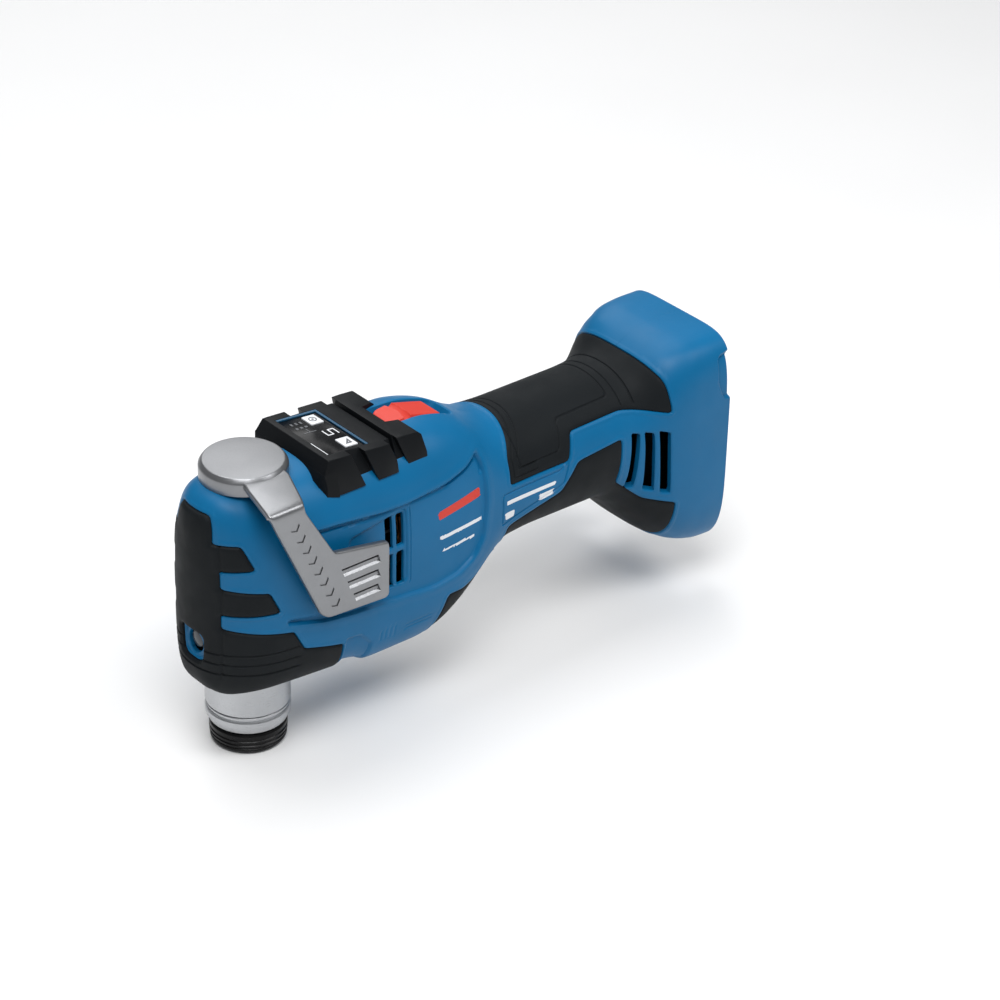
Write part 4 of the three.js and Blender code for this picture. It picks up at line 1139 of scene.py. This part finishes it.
def bent(mesh):
    """Bends a flat (x, length, height) mesh round the arm's softened side profile."""
    lengths, (y, z) = arm_path()
    dy, dz = np.gradient(y), np.gradient(z)
    size = np.hypot(dy, dz)
    offset = ARM_FACE[0][0] - ARM_START
    for vertex in mesh.vertices:
        x, length, height = vertex.co
        at_y, at_z, out_y, out_z = (
            float(np.interp(length + offset, lengths, v)) for v in (y, z, dz / size, -dy / size)
        )
        vertex.co = (x, at_y + out_y * height, at_z + out_z * height)
    with edited(mesh) as work:
        bmesh.ops.recalc_face_normals(work, faces=work.faces)
    return mesh


def sliced(mesh, places):
    """Cuts the mesh across its length, so that it can bend."""
    with edited(mesh) as work:
        for place in places:
            everything = [*work.verts, *work.edges, *work.faces]
            bmesh.ops.bisect_plane(work, geom=everything, plane_co=(0, place, 0), plane_no=(0, 1, 0))
        bmesh.ops.triangulate(work, faces=[f for f in work.faces if len(f.verts) > 4])
    return mesh


def grip_groove(row):
    """Groove of the foot: a deep slit along its upper wall, a flat floor and a sloping flank."""
    top = 53.2 + 5.75 * row
    left, right = 17.2 + 2.5 * row, 32.8
    sides = [(0, 1), (0, -2.2), (1.3, -2.2), (1.3, -0.8), (2.6, -0.8), (3.52, 0.25), (3.52, 1)]
    profile = [(top + down, height) for down, height in sides]
    lean = 0.35  # of both ends, back and down
    ends = [[(x + lean * (at - top), at, height) for at, height in profile] for x in (left, right)]
    return loft(ends)


CHEVRONS = 8


def chevron(number):
    """Small engraved chevron on the middle of the arm, pointing down it."""
    shape = [(-1.5, -1.9), (-0.5, -1.9), (1.1, 0), (-0.5, 1.9), (-1.5, 1.9), (0.1, 0)]
    start, end = np.array((-1.6, 30.5)), np.array((15.0, 66.0))
    along = (end - start) / np.linalg.norm(end - start)
    across = np.array((-along[1], along[0]))
    centre = start + (end - start) * number / (CHEVRONS - 1)
    return prism([tuple(centre + along * a + across * b) for a, b in shape], "z", -0.4, 1)


def add_lever():
    cap = lathe([(0, 104), (15.2, 104), (15.2, 108.9), (14.0, 110.6), (0, 110.6)], 128)
    cap = eased(cap, 0.4, 3, 20)
    arm = eased(prism(rounded(ARM_OUTLINE, 1.6, 4), "z", -ARM_THICK, 0), 0.9, 4, 40)
    arm = cut(arm, *[grip_groove(row) for row in range(3)], *[chevron(i) for i in range(CHEVRONS)])
    arm = bent(sliced(arm, np.arange(1, 30, 0.5)))
    stand_in("release_lever", join(arm, cap), "cast_silver", "lever", angle=30)


# ---------- neck, collar and tool holder ----------
def add_neck():
    collar = [
        (11.9, 8.1), (13.0, 8.1), (13.8, 8.6), (14.9, 10.9), (15.0, 11.6), (15.0, 13.2), (14.7, 13.7),
        (14.3, 13.9), (14.3, 14.4), (14.8, 14.7), (14.8, 15.2), (14.5, 15.4), (11.9, 15.4),
    ]
    stand_in("neck_collar", lathe(collar, 128), "neck_silver", angle=25)
    ring = [
        (6.8, 0), (12.1, 0), (12.9, 0.25), (13.4, 0.8), (13.4, 1.5), (13.1, 1.7), (13.1, 2.1),
        (13.45, 2.35), (13.6, 2.9), (13.2, 3.2), (13.2, 3.6), (13.65, 3.9), (13.7, 4.6), (13.3, 4.9),
        (13.3, 5.3), (13.7, 5.6), (13.7, 6.9), (13.2, 7.6), (6.8, 7.6),
    ]
    holder = lathe(ring, 128)
    spokes = [(math.pi * i / 12, 9.4 if i % 2 else 10.9) for i in range(24)]
    star = [(r * math.cos(a), r * math.sin(a)) for a, r in spokes]
    holder = cut(holder, prism(star, "z", -1, 5.2))
    stand_in("tool_holder", holder, "holder_black", "spindle_unit", angle=25)


def gear_plan(r, x1):
    """Outline of the gear housing: round ahead of the spindle axis, straight behind it."""
    arc = [(-r * math.sin(a), r * math.cos(a)) for a in np.linspace(0, math.pi, 33)]
    return [(x1, r), *arc, (x1, -r)]


def add_gear_housing():
    neck = lathe([
        (11.9, 15.6), (14.5, 15.6), (14.9, 16.0), (14.9, 43), (9.0, 43), (9.0, 41), (12.4, 41),
        (12.4, 29.4), (11.9, 28.4),
    ], 128)
    case = cut(prism(gear_plan(18, 41), "z", 42, 78.9), prism(gear_plan(15.6, 35.2), "z", 44.4, 80))
    drill = [(0, 71), (1.7, 71), (1.7, 80), (0, 80)]
    bores = [lathe(drill, 24, place=(37.6, y, 0)) for y in (-13.6, 13.6)]
    rotor_bore = [(0, 30), (6.6, 30), (6.6, 36), (9.4, 36), (9.4, 42), (0, 42)]
    bores.append(lathe(rotor_bore, 64, "x", (0, 0, 69)))
    bores.append(lathe([(0, 40), (9.0, 40), (9.0, 50), (0, 50)], 64))
    housing = join(eased(cut(case, *bores), 0.5), neck)
    stand_in("gear_housing", housing, "neck_silver", angle=25)


FRAME_X = 192.0  # where the frame of the rear opening takes its shape
FRAME_SHARE = 0.955  # its size beside the outer form
BLADES = {"battery_contact_plus": -7.5, "coding_contact": 0, "battery_contact_minus": 7.5}


def add_shoe():
    """Rear opening: the frame round it, the battery shoe with its rails, and the three blades."""
    plate = block(184, 186.6, -20.1, 20.1, 22.4, 97.6)
    solids = [plate, block(185, 195, -10, 10, 90, 94)]
    rail = [(185, 14.4), (196, 14.4), (196, 19), (193.6, 19), (193.6, 16.6), (185, 16.6)]
    solids += [prism([(x, side * y) for x, y in rail], "z", 26, 92) for side in (-1, 1)]
    shoe = eased(join(*solids), 0.35)
    slots = [block(183, 188, y - 0.8, y + 0.8, 47, 71) for y in BLADES.values()]
    stand_in("battery_shoe", cut(shoe, *slots), "black_plastic")
    for name, y in BLADES.items():
        blade = eased(block(181.4, 194, y - 0.45, y + 0.45, 48, 70), 0.3, 2)
        stand_in(name, blade, "brass")
    outer = section(FRAME_X)[:, 1:]
    middle = outer.mean(0)
    ring = [tuple(middle + (p - middle) * FRAME_SHARE) for p in outer]
    fill = cut(prism(ring, "x", 189.6, 196.4), block(188, 198, -20.5, 20.5, 10, 98))
    piece("shoe_frame", fill, "blue_shell")


SPRING_RADIUS = 4.7
SPRING_WIRE = 0.55
SPRING_FOOT, SPRING_TOP = 44.9, 61.7
SPRING_TURNS = 4


def wire_ring(share, around=12):
    """Circle of points round the spring's wire, at a share of its whole length."""
    angle = 2 * math.pi * SPRING_TURNS * share
    rise = SPRING_TOP - SPRING_FOOT - 2 * SPRING_WIRE
    z = SPRING_FOOT + SPRING_WIRE + rise * share
    ring = []
    for k in range(around):
        turn = 2 * math.pi * k / around
        r = SPRING_RADIUS + SPRING_WIRE * math.cos(turn)
        ring.append((r * math.cos(angle), r * math.sin(angle), z + SPRING_WIRE * math.sin(turn)))
    return ring


def add_spring():
    """The clamp spring: a round wire wound up the rod."""
    wire = loft([wire_ring(share) for share in np.linspace(0, 1, 321)])
    made = stand_in("clamp_spring", wire, "steel", "spindle_unit")
    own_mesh(made)


def add_light():
    body = lathe([(0, 0), (3.0, 0), (3.0, 1.2), (2.4, 1.5), (0, 1.7)], 40, "x")
    body.transform(Matrix.Rotation(math.pi, 4, "Z"))
    body.transform(Matrix.Translation((-19.2, 0, LIGHT_Z + 0.4)))
    stand_in("work_light_lens", body, "lens")


make_camera()
add_skin()
add_display_base()
add_hood()
add_pane()
add_pane_marks()
add_key_signs()
add_guard()
add_slider()
add_lever()
add_neck()
add_gear_housing()
add_shoe()
add_spring()
add_light()


# ---------- studio ----------
# name, place, target, size and power of each soft light, in metres and watts
LIGHTS = [
    ("key", (-0.25, -0.40, 1.10), (0.05, 0, 0.06), (0.6, 0.6), 9),
    ("side", (0.55, -0.58, 0.92), (0.05, 0, 0.06), (0.5, 0.5), 4),
    ("top", (0.05, 0.42, 1.15), (0.05, 0, 0.06), (1.0, 0.7), 6.5),
    ("back", (0.60, 1.05, 0.82), (0.02, 0, 0.10), (0.6, 0.6), 2.2),
    ("glint", (0.62, 0.50, 0.99), (0, -0.02, 0.11), (0.35, 0.35), 0.8),
]
WORLD_COLOUR = (0.95, 0.97, 1.0, 1)
WORLD_STRENGTH = 0.22
FLOOR_REACH = 6
FLOOR_GREY = (0.86, 0.86, 0.86)
FLOOR_DROP = 0.0005  # under the tool's lowest point


def area_light(name, place, target, size, power):
    data = bpy.data.lights.new(name, "AREA")
    data.shape = "RECTANGLE"
    data.size, data.size_y = size
    data.energy = power
    light = bpy.data.objects.new(name, data)
    bpy.context.scene.collection.objects.link(light)
    light.location = place
    direction = Vector(target) - Vector(place)
    light.rotation_euler = direction.to_track_quat("-Z", "Y").to_euler()


def make_studio():
    bpy.context.scene.view_settings.view_transform = "Standard"
    world = bpy.data.worlds.new("studio")
    world.use_nodes = True
    background = world.node_tree.nodes["Background"]
    background.inputs["Color"].default_value = WORLD_COLOUR
    background.inputs["Strength"].default_value = WORLD_STRENGTH
    bpy.context.scene.world = world
    for light in LIGHTS:
        area_light(*light)


def make_floor():
    mesh = bpy.data.meshes.new("floor")
    corners = [(FLOOR_REACH * a, FLOOR_REACH * b, 0) for a, b in ((-1, -1), (1, -1), (1, 1), (-1, 1))]
    mesh.from_pydata(corners, [], [(0, 1, 2, 3)])
    floor = bpy.data.objects.new("floor", mesh)
    bpy.context.scene.collection.objects.link(floor)
    floor.location = (0, 0, cad_box[0].z - FLOOR_DROP)
    material = new_material("floor", FLOOR_GREY, 0.6)
    paint = ramp(material, noise(material, 4), (0.85, 0.85, 0.85), (0.88, 0.88, 0.88))
    drive(material, "Base Color", paint)
    mesh.materials.append(material)


make_studio()
make_floor()

for name, node in frame["nodes"].items():
    look = next(s["material_slot"] for s in frame["record"]["subparts"] if s["node"] == name)
    node.data.materials.clear()
    node.data.materials.append(LOOKS[look])
